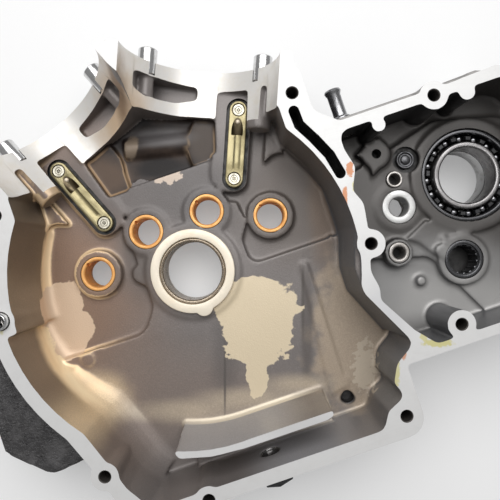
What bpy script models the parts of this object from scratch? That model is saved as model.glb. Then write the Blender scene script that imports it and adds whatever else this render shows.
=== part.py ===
"""Right half of a V-twin crankcase with its gearbox chamber, lying on its outer side with the split face up.

Everything is laid out from the crank axis: +X towards the gearbox, +Y up the engine, +Z out of the split face.
"""

import math

import bmesh
import bpy
from mathutils import Matrix, Vector

# Heights above the face that the half rests on
SPLIT_Z = 0.086
CHAMBER_DEPTH = 0.050
RECESS_STEP = 0.005
VALLEY_STEP = 0.008
GEARBOX_DEPTH = 0.040
CHEST_CEILING_Z = 0.027
GEARBOX_WEB = 0.009
MACHINING = 0.002
FLOOR_THICK = 0.010

FLOOR_Z = SPLIT_Z - CHAMBER_DEPTH
RECESS_Z = FLOOR_Z - RECESS_STEP
VALLEY_Z = FLOOR_Z - VALLEY_STEP
GEARBOX_Z = SPLIT_Z - GEARBOX_DEPTH
GEARBOX_BACK_Z = GEARBOX_Z - GEARBOX_WEB
FIT = 0.0003

# Crank chamber and its flange
CHAMBER_RADIUS = 0.107
FRONT_BULGE = 0.007
FLANGE_WIDTH = 0.0155
FLANGE_THICK = 0.012
WALL = 0.0125
THROAT_HALF_WIDTH = CHAMBER_RADIUS - 0.0208
THROAT_TOP = 0.080
CHAMBER_BOTTOM = CHAMBER_RADIUS
BOTTOM_WALL = 0.0042
BOTTOM_WALL_END = CHAMBER_RADIUS / 2 + 0.0005
BOTTOM_WALL_START = 0.0395
SIDE_STEP = 0.020

# Cylinder decks and spigot bores
V_HALF_ANGLE = math.radians(22.5)
SLEEVE_FOOT = CHAMBER_RADIUS - 0.001
SLEEVE_LIP = 0.0085
DECK_HEIGHT = SLEEVE_FOOT + 0.032
DECK_FLOOR = DECK_HEIGHT - 0.013
WINDOW_TOP = DECK_HEIGHT - 0.009
SPIGOT_RADIUS = 0.049
SPIGOT_LAND = 0.008
DECK_HALF_WIDTH = SPIGOT_RADIUS + 0.008
DECK_BACK_Z = 0.022
STUD_OFFSET = 0.039
STUD_BOSS_RADIUS = 0.0085
STUD_HOLE_RADIUS = 0.0055
STUD_BOSS_FOOT = 0.098
STUD_DEEP = 0.008
DOWEL_PROUD = 0.010
DOWEL_SEAT = 0.008
DOWEL_RADIUS = 0.0064
DOWEL_BORE = 0.0046

# Camshaft bushes
CAM_PITCH = 0.04445
INNER_CAM_HEIGHT = 0.0363
BUSH_RADIUS = 0.0119
BUSH_BORE = 0.0093
BUSH_LENGTH = 0.0195
BUSH_PROUD = 0.0012
CAM_BOSS_RADIUS = 0.0165
CAM_BOSS_RISE = 0.0012

# Crank main bearing seat
MAIN_BORE = 0.0198
RACE_RADIUS = 0.0226
RACE_DEPTH = 0.022
INSERT_RADIUS = 0.0290
INSERT_BODY_RADIUS = 0.0262
INSERT_FLANGE = 0.0035
INSERT_TAB_ANGLE = math.radians(-91)
INSERT_TAB_REACH = 0.0322
INSERT_TAB_RADIUS = 0.0062
MAIN_BOSS_RADIUS = 0.0335

# Oil jets
JET_OFFSET = 0.0243
JET_FOOT = 0.0657
JET_SCREW_PITCH = 0.0477
JET_HALF_WIDTH = 0.0061
JET_THICK = 0.0042
JET_SLOT_GAP = 0.0022
JET_SLOT_DEPTH = 0.0030
JET_PAD_INNER = 0.0076
JET_PAD_OUTER = 0.033
JET_PAD_RISE = 0.0012
SCREW_HEAD_RADIUS = 0.0041
SCREW_HEAD_DEPTH = 0.0024
SCREW_SHANK_RADIUS = 0.0024
SCREW_REACH = 0.0085
SCREW_SOCKET_RADIUS = 0.0014
NOZZLE_BORE_RADIUS = 0.0013

# Gearbox chamber
BOX_LEFT = CHAMBER_RADIUS + 0.008
BOX_LENGTH = 0.123
BOX_RIGHT = BOX_LEFT + BOX_LENGTH
BOX_TOP = 0.0513
BOX_BOTTOM = -0.0890
BOX_RIM = 0.0062
BOX_END_RIM = 0.0100
BOX_FLARE = 0.0035
BEARING_AT = (0.1962, 0.0016)
BEARING_RADIUS = 0.0310
BEARING_BORE = 0.01875
INNER_RING_RADIUS = 0.0226
OUTER_RING_BORE = 0.0283
BEARING_WIDTH = 0.016
BEARING_PROUD = 0.0010
BEARING_BOSS_RADIUS = 0.0385
BALL_RADIUS = 0.0034
BALL_COUNT = 16
CAGE_HALF_THICK = 0.0014
CAGE_HALF_WIDTH = 0.0052
SEAL_RADIUS = 0.0272
SEAL_BORE = 0.0234
SEAL_WIDTH = 0.007
SPACER_RADIUS = 0.0228
SPACER_LENGTH = 0.0145
DRIVE_BOSS_END_Z = 0.0105
NEEDLE_AT = (0.1752, -0.0508)
NEEDLE_CUP_RADIUS = 0.0128
NEEDLE_CUP_WALL = 0.0012
NEEDLE_BORE = 0.0088
NEEDLE_RADIUS = 0.00115
NEEDLE_COUNT = 14
NEEDLE_LENGTH = 0.016
NEEDLE_BOSS_RADIUS = 0.0172
NEEDLE_BOSS_RISE = 0.0035
SHIFT_BUSH_AT = (0.1462, -0.0038)
SHIFT_BUSH_RADIUS = 0.0114
SHIFT_BUSH_BORE = 0.0064
SHIFT_BUSH_LENGTH = 0.014
PIVOT_SLEEVE_AT = (0.1490, 0.0146)
PIVOT_SLEEVE_RADIUS = 0.0054
PIVOT_SLEEVE_BORE = 0.0037
PIVOT_SLEEVE_LENGTH = 0.012
PLUG_AT = (0.1606, 0.0248)
PLUG_WELL_RADIUS = 0.0088
PLUG_WELL_DEPTH = 0.003
PLUG_RADIUS = 0.0062
PLUG_LENGTH = 0.010
LOWER_SLEEVE_AT = (0.1347, -0.0324)
LOWER_SLEEVE_RADIUS = 0.0070
LOWER_SLEEVE_BORE = 0.0040
LOWER_SLEEVE_LENGTH = 0.014
LOWER_BOSS_RADIUS = 0.0095
LOWER_BOSS_RISE = 0.0100
PAWL_BOSS_AT = (0.1425, 0.0345)
PAWL_HOLE_RADIUS = 0.0032
DOME_AT = (0.1445, -0.0558)
DOME_RADIUS = 0.0046

# Split face bolts, and the hollow dowels in two of them
BOLT_RADIUS = 0.0034
BOLT_BOSS_RADIUS = 0.0088
BOLT_BOSS_DEPTH = 0.040
CASE_DOWEL_RADIUS = 0.0052
CASE_DOWEL_LENGTH = 0.014
CASE_DOWEL_SUNK = 0.0100
THROAT_BOLT_AT = (THROAT_HALF_WIDTH + 0.0105, 0.0826)
FRONT_THROAT_BOLT_AT = (-THROAT_HALF_WIDTH - 0.0105, 0.0700)
DIVIDER_BOLT_AT = (BOX_LEFT - 0.0024, -0.0189)
BOX_TOP_BOLT_AT = (0.1772, BOX_TOP + 0.0024)
BOX_LOW_BOLT_AT = (0.1487, BOX_BOTTOM + 0.0064)
REAR_LOW_BOLT_AT = (BOX_RIGHT + BOX_END_RIM * 0.4, -0.0700)
SUMP_BOLT_AT = (0.0994, -0.1244)
FRONT_BOLT_AT = (-CHAMBER_RADIUS - 0.0073, 0.0087)

# Sump below the chamber
SUMP_BOTTOM = CHAMBER_RADIUS + 0.030
SUMP_LEFT = 0.038
SUMP_RIGHT = 0.1095
SUMP_WALL = 0.009
SUMP_FLOOR_Z = 0.044
DRAIN_AT_X = 0.012
DRAIN_HOLE_RADIUS = 0.0065
DRAIN_HEAD_RADIUS = 0.0105
DRAIN_HEAD_THICK = 0.006
DRAIN_Z = 0.058
DRAIN_BOSS_RADIUS = 0.0140

# Oil ways
SLOT_RADIUS = 0.0033
SLOT_DEPTH = 0.030
SLOT_PATH = (
    (THROAT_HALF_WIDTH + 0.0079, 0.0718),
    (THROAT_HALF_WIDTH + 0.0083, 0.0630),
    (BOX_LEFT - 0.0145, 0.0520),
    (BOX_LEFT - 0.0090, 0.0400),
    (BOX_LEFT - 0.0064, 0.0275),
)
OIL_RIB_X = 0.0690
OIL_RIB_TOP = -0.019
OIL_RIB_FOOT = -0.1130
OIL_RIB_HALF_WIDTH = 0.0060
OIL_RIB_RISE = 0.0012
OIL_HOLE_RADIUS = 0.0040

# Cam chest on the outer side
CHEST_WALL = 0.0065
CHEST_BOSS_RADIUS = 0.0062
CHEST_SCREW_RADIUS = 0.0026
CHEST_SCREW_DEPTH = 0.016

# Hose nipple on the gearbox roof
NIPPLE_X = BOX_LEFT + 0.0125
NIPPLE_Z = 0.054
NIPPLE_RADIUS = 0.0047
NIPPLE_COLLAR_RADIUS = 0.0062
NIPPLE_COLLAR = 0.0042
NIPPLE_HEIGHT = 0.0225
NIPPLE_BORE = 0.0030
NIPPLE_SPIGOT_RADIUS = 0.0036
NIPPLE_SPIGOT_LENGTH = 0.0035

# Engine mount block at the lower front
MOUNT_REACH = CHAMBER_RADIUS + 0.043
MOUNT_TOP = -0.006
MOUNT_FOOT = -0.096
MOUNT_LOW_Z = 0.018
MOUNT_HIGH_Z = SPLIT_Z - 0.024
MOUNT_HOLES = (-0.036, -0.066)
MOUNT_HOLE_RADIUS = 0.0045
MOUNT_HOLE_DEPTH = 0.018

# Small bosses that stand in the gearbox roof and wall
ROOF_BOSSES = ((0.1400, BOX_TOP - 0.0038, 0.0042), (0.1968, BOX_TOP - 0.0021, 0.0050))

# Rear mounting lugs and cover feet
LUG_X = 0.2580
LUG_RADIUS = 0.0125
LUG_HOLE_RADIUS = 0.0055
LUG_LOW_Z = 0.030
LUG_TOP_Z = 0.074
LUG_HEIGHTS = (0.022, -0.066)
FOOT_RADIUS = 0.0085
FOOT_HOLE_RADIUS = 0.0030
FOOT_HOLE_DEPTH = 0.018


def side_point(side, along, offset):
    """Point at a distance up a cylinder's axis and out from it; side is +1 for rear and -1 for front."""
    x = along * math.sin(V_HALF_ANGLE) + offset * math.cos(V_HALF_ANGLE)
    y = along * math.cos(V_HALF_ANGLE) - offset * math.sin(V_HALF_ANGLE)
    return (side * x, y)


def rounded(corners):
    """Outline through (x, y, radius) corners, each turned by an arc that its edges have room for."""
    outline = []
    count = len(corners)
    for index, (x, y, radius) in enumerate(corners):
        here = Vector((x, y))
        before = Vector(corners[index - 1][:2]) - here
        after = Vector(corners[(index + 1) % count][:2]) - here
        half = before.angle(after) / 2
        room = 0.48 * min(before.length, after.length)
        reach = min(radius / math.tan(half), room)
        if reach < 1e-5:
            outline.append((x, y))
            continue
        arc = reach * math.tan(half)
        centre = here + (before.normalized() + after.normalized()).normalized() * (arc / math.sin(half))
        start = here + before.normalized() * reach - centre
        turn = start.angle_signed(here + after.normalized() * reach - centre)
        steps = 2 if arc < 0.007 or abs(turn) < 0.7 else 4
        for step in range(steps + 1):
            swing = -turn * step / steps
            spoke = Matrix.Rotation(swing, 2) @ start
            outline.append(tuple(centre + spoke))
    return outline


def grown(corners, distance):
    """The same corners moved outwards by a wall thickness; they run anticlockwise."""
    moved = []
    count = len(corners)
    for index, (x, y, radius) in enumerate(corners):
        here = Vector((x, y))
        into = (here - Vector(corners[index - 1][:2])).normalized()
        out = (Vector(corners[(index + 1) % count][:2]) - here).normalized()
        normals = Vector((into.y, -into.x)) + Vector((out.y, -out.x))
        shift = normals * (distance / (1 + into.dot(out)))
        moved.append((x + shift.x, y + shift.y, max(radius + distance, 0.001)))
    return moved


def circle(radius, segments, centre=(0, 0)):
    angles = (2 * math.pi * step / segments for step in range(segments))
    return [(centre[0] + radius * math.cos(a), centre[1] + radius * math.sin(a)) for a in angles]


def capsule(start, end, radius, steps=5):
    """Outline of a slot or bar with round ends."""
    direction = math.atan2(end[1] - start[1], end[0] - start[0])
    outline = []
    for centre, first in ((end, direction - math.pi / 2), (start, direction + math.pi / 2)):
        for step in range(steps + 1):
            angle = first + math.pi * step / steps
            outline.append((centre[0] + radius * math.cos(angle), centre[1] + radius * math.sin(angle)))
    return outline


def link(name, bm):
    bmesh.ops.remove_doubles(bm, verts=bm.verts, dist=1e-6)
    bmesh.ops.recalc_face_normals(bm, faces=bm.faces)
    mesh = bpy.data.meshes.new(name)
    bm.to_mesh(mesh)
    bm.free()
    made = bpy.data.objects.new(name, mesh)
    bpy.context.scene.collection.objects.link(made)
    return made


def prism(name, outline, low, high):
    """An outline in the plan view, extruded between two heights."""
    bm = bmesh.new()
    face = bm.faces.new([bm.verts.new((x, y, low)) for x, y in outline])
    raised = bmesh.ops.extrude_face_region(bm, geom=[face])["geom"]
    bmesh.ops.translate(bm, verts=[v for v in raised if isinstance(v, bmesh.types.BMVert)], vec=(0, 0, high - low))
    return link(name, bm)


def post(name, centre, radius, low, high, segments=32):
    return prism(name, circle(radius, segments, centre), low, high)


def turned(name, profile, segments=32):
    """A closed (radius, z) profile turned about its own Z axis."""
    bm = bmesh.new()
    verts = [bm.verts.new((radius, 0, z)) for radius, z in profile]
    edges = [bm.edges.new((verts[i - 1], verts[i])) for i in range(len(verts))]
    bmesh.ops.spin(
        bm, geom=verts + edges, cent=(0, 0, 0), axis=(0, 0, 1), angle=2 * math.pi, steps=segments, use_merge=True
    )
    bmesh.ops.dissolve_degenerate(bm, edges=bm.edges, dist=1e-7)
    return link(name, bm)


def tube(name, outer, inner, low, high, segments=32):
    return turned(name, [(inner, low), (outer, low), (outer, high), (inner, high)], segments)


def bar(name, start, end, radius, segments=24, end_radius=None):
    """A round bar, or a taper, between two points in space."""
    start, end = Vector(start), Vector(end)
    bm = bmesh.new()
    bmesh.ops.create_cone(
        bm,
        cap_ends=True,
        segments=segments,
        radius1=radius,
        radius2=radius if end_radius is None else end_radius,
        depth=(end - start).length,
    )
    turn = Vector((0, 0, 1)).rotation_difference(end - start).to_matrix().to_4x4()
    bmesh.ops.transform(bm, matrix=Matrix.Translation((start + end) / 2) @ turn, verts=bm.verts)
    return link(name, bm)


def combine(target, operation, tools):
    """Joins or cuts all the tools in one solve, then keeps the result as the target's own mesh."""
    group = bpy.data.collections.new("tools")
    bpy.context.scene.collection.children.link(group)
    for tool in tools:
        bpy.context.scene.collection.objects.unlink(tool)
        group.objects.link(tool)
    modifier = target.modifiers.new("combine", "BOOLEAN")
    modifier.operation = operation
    modifier.solver = "EXACT"
    modifier.operand_type = "COLLECTION"
    modifier.collection = group
    graph = bpy.context.evaluated_depsgraph_get()
    result = bpy.data.meshes.new_from_object(target.evaluated_get(graph))
    target.modifiers.clear()
    target.data = result
    for tool in tools:
        bpy.data.objects.remove(tool)
    bpy.data.collections.remove(group)
    return target


def material(name, color, roughness, metallic):
    made = bpy.data.materials.new(name)
    made.use_nodes = True
    shader = made.node_tree.nodes["Principled BSDF"]
    shader.inputs["Base Color"].default_value = (*color, 1)
    shader.inputs["Roughness"].default_value = roughness
    shader.inputs["Metallic"].default_value = metallic
    return made


def dress(made, finish, smooth=True):
    made.data.materials.clear()
    made.data.materials.append(finish)
    if smooth:
        made.data.shade_smooth()
        made.data.set_sharp_from_angle(angle=math.radians(35))
    return made


def cam_centres():
    """The four camshafts, front to rear: an arc with equal gear centre distances."""
    inner = CAM_PITCH / 2
    outer = inner + CAM_PITCH * math.cos(V_HALF_ANGLE)
    drop = INNER_CAM_HEIGHT - CAM_PITCH * math.sin(V_HALF_ANGLE)
    return [(-outer, drop), (-inner, INNER_CAM_HEIGHT), (inner, INNER_CAM_HEIGHT), (outer, drop)]


def box_corners():
    """Gearbox chamber outline, anticlockwise from the foot of the divider."""
    return [
        (BOX_LEFT + 0.0163, BOX_BOTTOM, 0.005),
        (BOX_RIGHT, BOX_BOTTOM, 0.020),
        (BOX_RIGHT, BOX_TOP, 0.020),
        (BOX_LEFT + 0.0005, BOX_TOP, 0.007),
        (BOX_LEFT + 0.0005, 0.0400, 0.004),
        (BOX_LEFT + 0.0035, 0.0280, 0.006),
        (BOX_LEFT - 0.0027, 0.0150, 0.005),
        (BOX_LEFT + 0.0012, 0.0060, 0.006),
        (BOX_LEFT - 0.0008, -0.0070, 0.004),
        (BOX_LEFT - 0.0080, -0.0350, 0.006),
        (BOX_LEFT - 0.0060, -0.0460, 0.004),
        (BOX_LEFT - 0.0078, -0.0530, 0.004),
        (BOX_LEFT + 0.0056, -0.0766, 0.006),
    ]


def box_outer_corners(flare):
    return [
        (CHAMBER_RADIUS - 0.010, BOX_BOTTOM - BOX_RIM - flare, 0),
        (BOX_RIGHT + BOX_END_RIM + flare, BOX_BOTTOM - BOX_RIM - flare, 0.026),
        (BOX_RIGHT + BOX_END_RIM + flare, BOX_TOP + BOX_RIM + flare, 0.026),
        (CHAMBER_RADIUS - 0.022, BOX_TOP + BOX_RIM + flare, 0),
    ]


def chest_corners():
    """Inside of the cam chest wall, anticlockwise, clear of the cam gears."""
    outer_cam, inner_cam = cam_centres()[3], cam_centres()[2]
    gear = CAM_PITCH / 2 + 0.005
    return [
        (-inner_cam[0] - 0.018, -0.052, 0.026),
        (inner_cam[0] + 0.018, -0.052, 0.026),
        (outer_cam[0] + gear, outer_cam[1] - gear - 0.006, 0.020),
        (outer_cam[0] + gear, outer_cam[1] + gear, 0.022),
        (inner_cam[0] + 0.015, inner_cam[1] + gear + 0.004, 0.022),
        (-inner_cam[0] - 0.015, inner_cam[1] + gear + 0.004, 0.022),
        (-outer_cam[0] - gear, outer_cam[1] + gear, 0.022),
        (-outer_cam[0] - gear, outer_cam[1] - gear - 0.006, 0.020),
    ]


def front_pocket():
    """Lower front of the chamber: a wider arc that runs down beside the bottom wall into the sump."""
    wide = CHAMBER_RADIUS + FRONT_BULGE
    floor = -SUMP_BOTTOM + SUMP_WALL
    first, last, steps = math.radians(181), math.radians(219), 7
    arc = []
    for step in range(steps + 1):
        angle = first + (last - first) * step / steps
        arc.append((wide * math.cos(angle), wide * math.sin(angle), 0))
    turn_x, turn_y = arc[-1][:2]
    return [
        (-CHAMBER_RADIUS * 0.56, 0.001, 0),
        *arc,
        (turn_x + 0.0078, turn_y - 0.0216, 0.020),
        (turn_x + 0.0142, turn_y - 0.0400, 0.010),
        (turn_x + 0.0247, floor, 0.010),
        (-BOTTOM_WALL_START + 0.001, floor, 0),
        (-BOTTOM_WALL_START + 0.001, -CHAMBER_BOTTOM + 0.0018, 0.002),
        (-BOTTOM_WALL_START - 0.001, -CHAMBER_BOTTOM + 0.0060, 0.002),
        (-BOTTOM_WALL_START + 0.0015, -CHAMBER_BOTTOM + 0.0110, 0),
        (-CHAMBER_RADIUS * 0.56, -CHAMBER_RADIUS * 0.56, 0),
    ]


def mount_block():
    """Block for the front engine mount, standing out of the chamber wall below the flange."""
    outline = [
        (-CHAMBER_RADIUS, MOUNT_TOP, 0),
        (-CHAMBER_RADIUS - 0.020, MOUNT_TOP + 0.002, 0.006),
        (-MOUNT_REACH, MOUNT_TOP - 0.014, 0.008),
        (-MOUNT_REACH, MOUNT_FOOT + 0.022, 0.010),
        (-MOUNT_REACH + 0.024, MOUNT_FOOT, 0.012),
        (-CHAMBER_RADIUS + 0.018, MOUNT_FOOT + 0.004, 0),
        (-CHAMBER_RADIUS * 0.86, -CHAMBER_RADIUS * 0.62, 0),
    ]
    return prism("mount_block", rounded(outline), MOUNT_LOW_Z, MOUNT_HIGH_Z)


def bolt_centres():
    """Split face bolts that stand in their own bosses."""
    turn = front_pocket()[9]
    return [
        THROAT_BOLT_AT,
        FRONT_THROAT_BOLT_AT,
        DIVIDER_BOLT_AT,
        BOX_TOP_BOLT_AT,
        BOX_LOW_BOLT_AT,
        SUMP_BOLT_AT,
        FRONT_BOLT_AT,
        (REAR_LOW_BOLT_AT[0], 0.030),
        REAR_LOW_BOLT_AT,
        (turn[0] - 0.0041, turn[1] - 0.0070),
        (-SUMP_LEFT + 0.008, -SUMP_BOTTOM + 0.003),
    ]


def foot_centres():
    """Sprocket cover bosses on the outer side, level with the cam chest face."""
    return [
        (BOX_RIGHT, BOX_TOP - 0.006),
        (BOX_RIGHT, BOX_BOTTOM + 0.006),
        (BOX_LEFT + 0.018, BOX_BOTTOM + 0.002),
    ]


def lugs():
    """Ears at the rear end for the frame bolts, reaching back into the gearbox end wall."""
    made = []
    for height in LUG_HEIGHTS:
        outline = capsule((BOX_RIGHT + BOX_END_RIM / 2, height), (LUG_X, height), LUG_RADIUS)
        made.append(prism("lug", outline, LUG_LOW_Z, LUG_TOP_Z))
    return made


def deck_block(side):
    corners = [
        (*side_point(side, 0.060, -DECK_HALF_WIDTH * 0.6), 0),
        (*side_point(side, 0.060, DECK_HALF_WIDTH * 0.8), 0),
        (*side_point(side, DECK_FLOOR - 0.020, DECK_HALF_WIDTH - 0.002), 0),
        (*side_point(side, DECK_HEIGHT - 0.010, DECK_HALF_WIDTH), 0.003),
        (*side_point(side, DECK_HEIGHT, DECK_HALF_WIDTH), 0.003),
        (*side_point(side, DECK_HEIGHT, -DECK_HALF_WIDTH), 0),
        (*side_point(side, DECK_HEIGHT - 0.020, -DECK_HALF_WIDTH), 0),
    ]
    if side > 0:
        corners.reverse()
    return prism("deck_block", rounded(corners), DECK_BACK_Z, SPLIT_Z + MACHINING)


def outer_solids():
    """What stands before anything is hollowed out."""
    top = SPLIT_Z + MACHINING
    flange_low = SPLIT_Z - FLANGE_THICK
    throat = [
        (0.060, 0.010, 0),
        (THROAT_BOLT_AT[0] + 0.012, 0.020, 0),
        (BOX_LEFT + 0.006, BOX_TOP + 0.004, 0.004),
        (THROAT_BOLT_AT[0] + 0.0085, THROAT_BOLT_AT[1] - 0.014, 0.008),
        (THROAT_BOLT_AT[0] + 0.0085, THROAT_BOLT_AT[1] + 0.014, 0.004),
        (0.060, 0.110, 0),
    ]
    front_throat = [
        (-0.060, 0.110, 0),
        (FRONT_THROAT_BOLT_AT[0] - 0.0085, FRONT_THROAT_BOLT_AT[1] + 0.028, 0.004),
        (FRONT_THROAT_BOLT_AT[0] - 0.0085, FRONT_THROAT_BOLT_AT[1] - 0.010, 0.008),
        (-CHAMBER_RADIUS - 0.006, 0.035, 0.006),
        (-0.060, 0.010, 0),
    ]
    turn, heel, corner = front_pocket()[9:12]
    sump = [
        (turn[0] - 0.0200, turn[1] + 0.0250, 0),
        (turn[0] - 0.0086, turn[1] - 0.0035, 0.010),
        (heel[0] - 0.0085, heel[1] - 0.0058, 0.014),
        (corner[0] - 0.0065, -SUMP_BOTTOM, 0.018),
        (SUMP_RIGHT, -SUMP_BOTTOM, 0.012),
        (SUMP_RIGHT, -0.055, 0),
    ]
    solids = [
        post("flange_disc", (0, 0), CHAMBER_RADIUS + FLANGE_WIDTH, flange_low, top, 72),
        prism("sump_block", rounded(sump), CHEST_CEILING_Z, top),
        prism("box_flange", rounded(box_outer_corners(0)), SPLIT_Z - FLANGE_THICK, top),
        prism("box_wall", rounded(box_outer_corners(BOX_FLARE)), GEARBOX_BACK_Z - 0.018, flange_low + 0.001),
        prism("throat_block", rounded(throat), CHEST_CEILING_Z, top),
        prism("front_throat_block", rounded(front_throat), CHEST_CEILING_Z, top),
        deck_block(1),
        deck_block(-1),
        mount_block(),
        prism("chest_block", rounded(grown(chest_corners(), CHEST_WALL)), -MACHINING, FLOOR_Z - 0.002),
    ]
    for index, centre in enumerate(foot_centres()):
        solids.append(post(f"foot_{index}", centre, FOOT_RADIUS, -MACHINING, GEARBOX_Z - 0.004, 16))
    return solids + lugs()


def chamber_cavities():
    """The crank chamber, its throat, the sump pockets and the recesses in the floor."""
    top = SPLIT_Z + 2 * MACHINING
    low_right = [
        (0.040, -0.030, 0),
        (CHAMBER_RADIUS - 0.0080, -0.030, 0),
        (CHAMBER_RADIUS - 0.0080, -0.0460, 0.006),
        (CHAMBER_RADIUS + 0.0108, BOX_BOTTOM + 0.0050, 0.005),
        (CHAMBER_RADIUS - 0.0030, BOX_BOTTOM - 0.0035, 0.008),
        (SUMP_BOLT_AT[0] - 0.0009, SUMP_BOLT_AT[1] + 0.0214, 0.004),
        (SUMP_BOLT_AT[0] + 0.0031, SUMP_BOLT_AT[1] + 0.0119, 0.004),
        (SUMP_BOLT_AT[0] - 0.0094, SUMP_BOLT_AT[1] + 0.0064, 0.005),
        (SUMP_BOLT_AT[0] - 0.0154, -SUMP_BOTTOM + SUMP_WALL, 0.006),
        (BOTTOM_WALL_END + 0.004, -SUMP_BOTTOM + SUMP_WALL, 0),
        (BOTTOM_WALL_END + 0.004, -CHAMBER_BOTTOM + 0.0002, 0),
        (0.002, -CHAMBER_BOTTOM + 0.0002, 0),
    ]
    low_right.reverse()
    under = CHAMBER_BOTTOM + BOTTOM_WALL
    start = BOTTOM_WALL_START
    sump = [
        (-start, -math.sqrt(under**2 - start**2) - 0.0004, 0),
        (-start / 2, -math.sqrt(under**2 - start**2 / 4) - 0.0002, 0),
        (0, -under, 0),
        (BOTTOM_WALL_END - 0.0005, -CHAMBER_BOTTOM - BOTTOM_WALL, 0),
        (BOTTOM_WALL_END + 0.006, -CHAMBER_BOTTOM - BOTTOM_WALL + 0.002, 0),
        (BOTTOM_WALL_END + 0.006, -SUMP_BOTTOM + SUMP_WALL, 0),
        (-start, -SUMP_BOTTOM + SUMP_WALL, 0),
    ]
    sump.reverse()
    throat = [
        (THROAT_HALF_WIDTH, THROAT_TOP / 2, 0),
        (THROAT_HALF_WIDTH, THROAT_TOP, 0.003),
        (0.050, THROAT_TOP + 0.010, 0),
        (-0.050, THROAT_TOP + 0.010, 0),
        (-THROAT_HALF_WIDTH, THROAT_TOP, 0.003),
        (-THROAT_HALF_WIDTH, THROAT_TOP / 2, 0),
    ]
    valley_edge = SLEEVE_FOOT / math.cos(V_HALF_ANGLE)
    valley = [
        (0.0405, 0.0690, 0.005),
        (*side_point(1, SLEEVE_FOOT, SPIGOT_LAND), 0.003),
        (0.0020, valley_edge - 0.0010, 0),
        (-0.0020, valley_edge - 0.0010, 0),
        (*side_point(-1, SLEEVE_FOOT, SPIGOT_LAND), 0.003),
        (-0.0405, 0.0690, 0.005),
    ]
    left_recess = [
        (-0.035, 0.044, 0.008),
        (-THROAT_HALF_WIDTH + 0.0008, 0.0635, 0.006),
        (-CHAMBER_RADIUS + 0.0088, 0.0405, 0.010),
        (-CHAMBER_RADIUS + 0.0018, 0.0150, 0.010),
        (-CHAMBER_RADIUS + 0.0012, 0.0015, 0),
        (-CHAMBER_RADIUS - FRONT_BULGE + 0.0016, -0.0030, 0),
        (-CHAMBER_RADIUS - FRONT_BULGE + 0.0044, -0.0295, 0.003),
        (-0.046, -0.0305, 0.013),
        (-0.0345, -0.0150, 0.010),
        (-0.0345, 0.0000, 0.004),
        (-0.0430, 0.0090, 0.004),
        (-0.0350, 0.0180, 0.004),
    ]
    right_recess = [
        (0.0430, 0.0440, 0.008),
        (0.0460, 0.0200, 0.006),
        (0.0390, 0.0090, 0.005),
        (0.0395, -0.0090, 0.009),
        (CHAMBER_RADIUS - 0.006, -0.0090, 0.006),
        (CHAMBER_RADIUS - 0.006, 0.0250, 0.010),
        (THROAT_HALF_WIDTH - 0.0002, 0.0620, 0.010),
    ]
    return [
        post("chamber", (0, 0), CHAMBER_RADIUS, FLOOR_Z, top, 72),
        prism("front_pocket", rounded(front_pocket()), FLOOR_Z, top),
        prism("low_right_pocket", rounded(low_right), FLOOR_Z, top),
        prism("sump_pocket", rounded(sump), SUMP_FLOOR_Z, top),
        prism("throat", rounded(throat), FLOOR_Z, top),
        prism("valley", rounded(valley), VALLEY_Z, top),
        prism("left_recess", rounded(left_recess), RECESS_Z, FLOOR_Z + MACHINING),
        prism("right_recess", rounded(right_recess), RECESS_Z, FLOOR_Z + MACHINING),
    ]


def spigot_cavities(side):
    """The bored spigot, the pocket behind the oil jet and the window in the valley side of the sleeve."""
    top = SPLIT_Z + 2 * MACHINING

    def plan(*places):
        corners = [(*side_point(side, along, offset), radius) for along, offset, radius in places]
        if side < 0:
            corners.reverse()
        return rounded(corners)

    foot, end = side_point(side, SLEEVE_FOOT - 0.001, 0), side_point(side, DECK_HEIGHT + 0.010, 0)
    shoulder = SPIGOT_RADIUS - 0.005
    pocket = plan(
        (THROAT_TOP - 0.030, SPIGOT_LAND, 0.002),
        (THROAT_TOP - 0.030, shoulder, 0.002),
        (DECK_FLOOR, shoulder, 0.002),
        (DECK_FLOOR, SPIGOT_LAND, 0.002),
    )
    window = plan(
        (SLEEVE_FOOT + SLEEVE_LIP, -SPIGOT_RADIUS + 0.0095, 0),
        (SLEEVE_FOOT + SLEEVE_LIP, -0.0200, 0),
        (SLEEVE_FOOT + SLEEVE_LIP + 0.0040, -0.0050, 0.002),
        (WINDOW_TOP - 0.0020, -0.0050, 0.002),
        (WINDOW_TOP, -SPIGOT_RADIUS + 0.0140, 0),
        (WINDOW_TOP, -SPIGOT_RADIUS + 0.0035, 0.002),
        (SLEEVE_FOOT + SLEEVE_LIP + 0.0030, -SPIGOT_RADIUS + 0.0035, 0.002),
    )
    return [
        bar("spigot", (*foot, SPLIT_Z), (*end, SPLIT_Z), SPIGOT_RADIUS, 56),
        prism("jet_pocket", pocket, RECESS_Z, top),
        prism("sleeve_window", window, DECK_BACK_Z + 0.008, SPLIT_Z - 0.006),
    ]


def gearbox_cavities():
    top = SPLIT_Z + 2 * MACHINING
    back = grown(box_outer_corners(BOX_FLARE), -0.0075)
    back[0] = (0.136, back[0][1], 0.010)
    back[3] = (0.119, back[3][1], 0.010)
    return [
        prism("gearbox", rounded(box_corners()), GEARBOX_Z, top),
        prism("outer_pocket", rounded(back), -2 * MACHINING, GEARBOX_BACK_Z),
    ]


def chest_cavity():
    return [prism("chest", rounded(chest_corners()), -2 * MACHINING, CHEST_CEILING_Z)]


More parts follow.
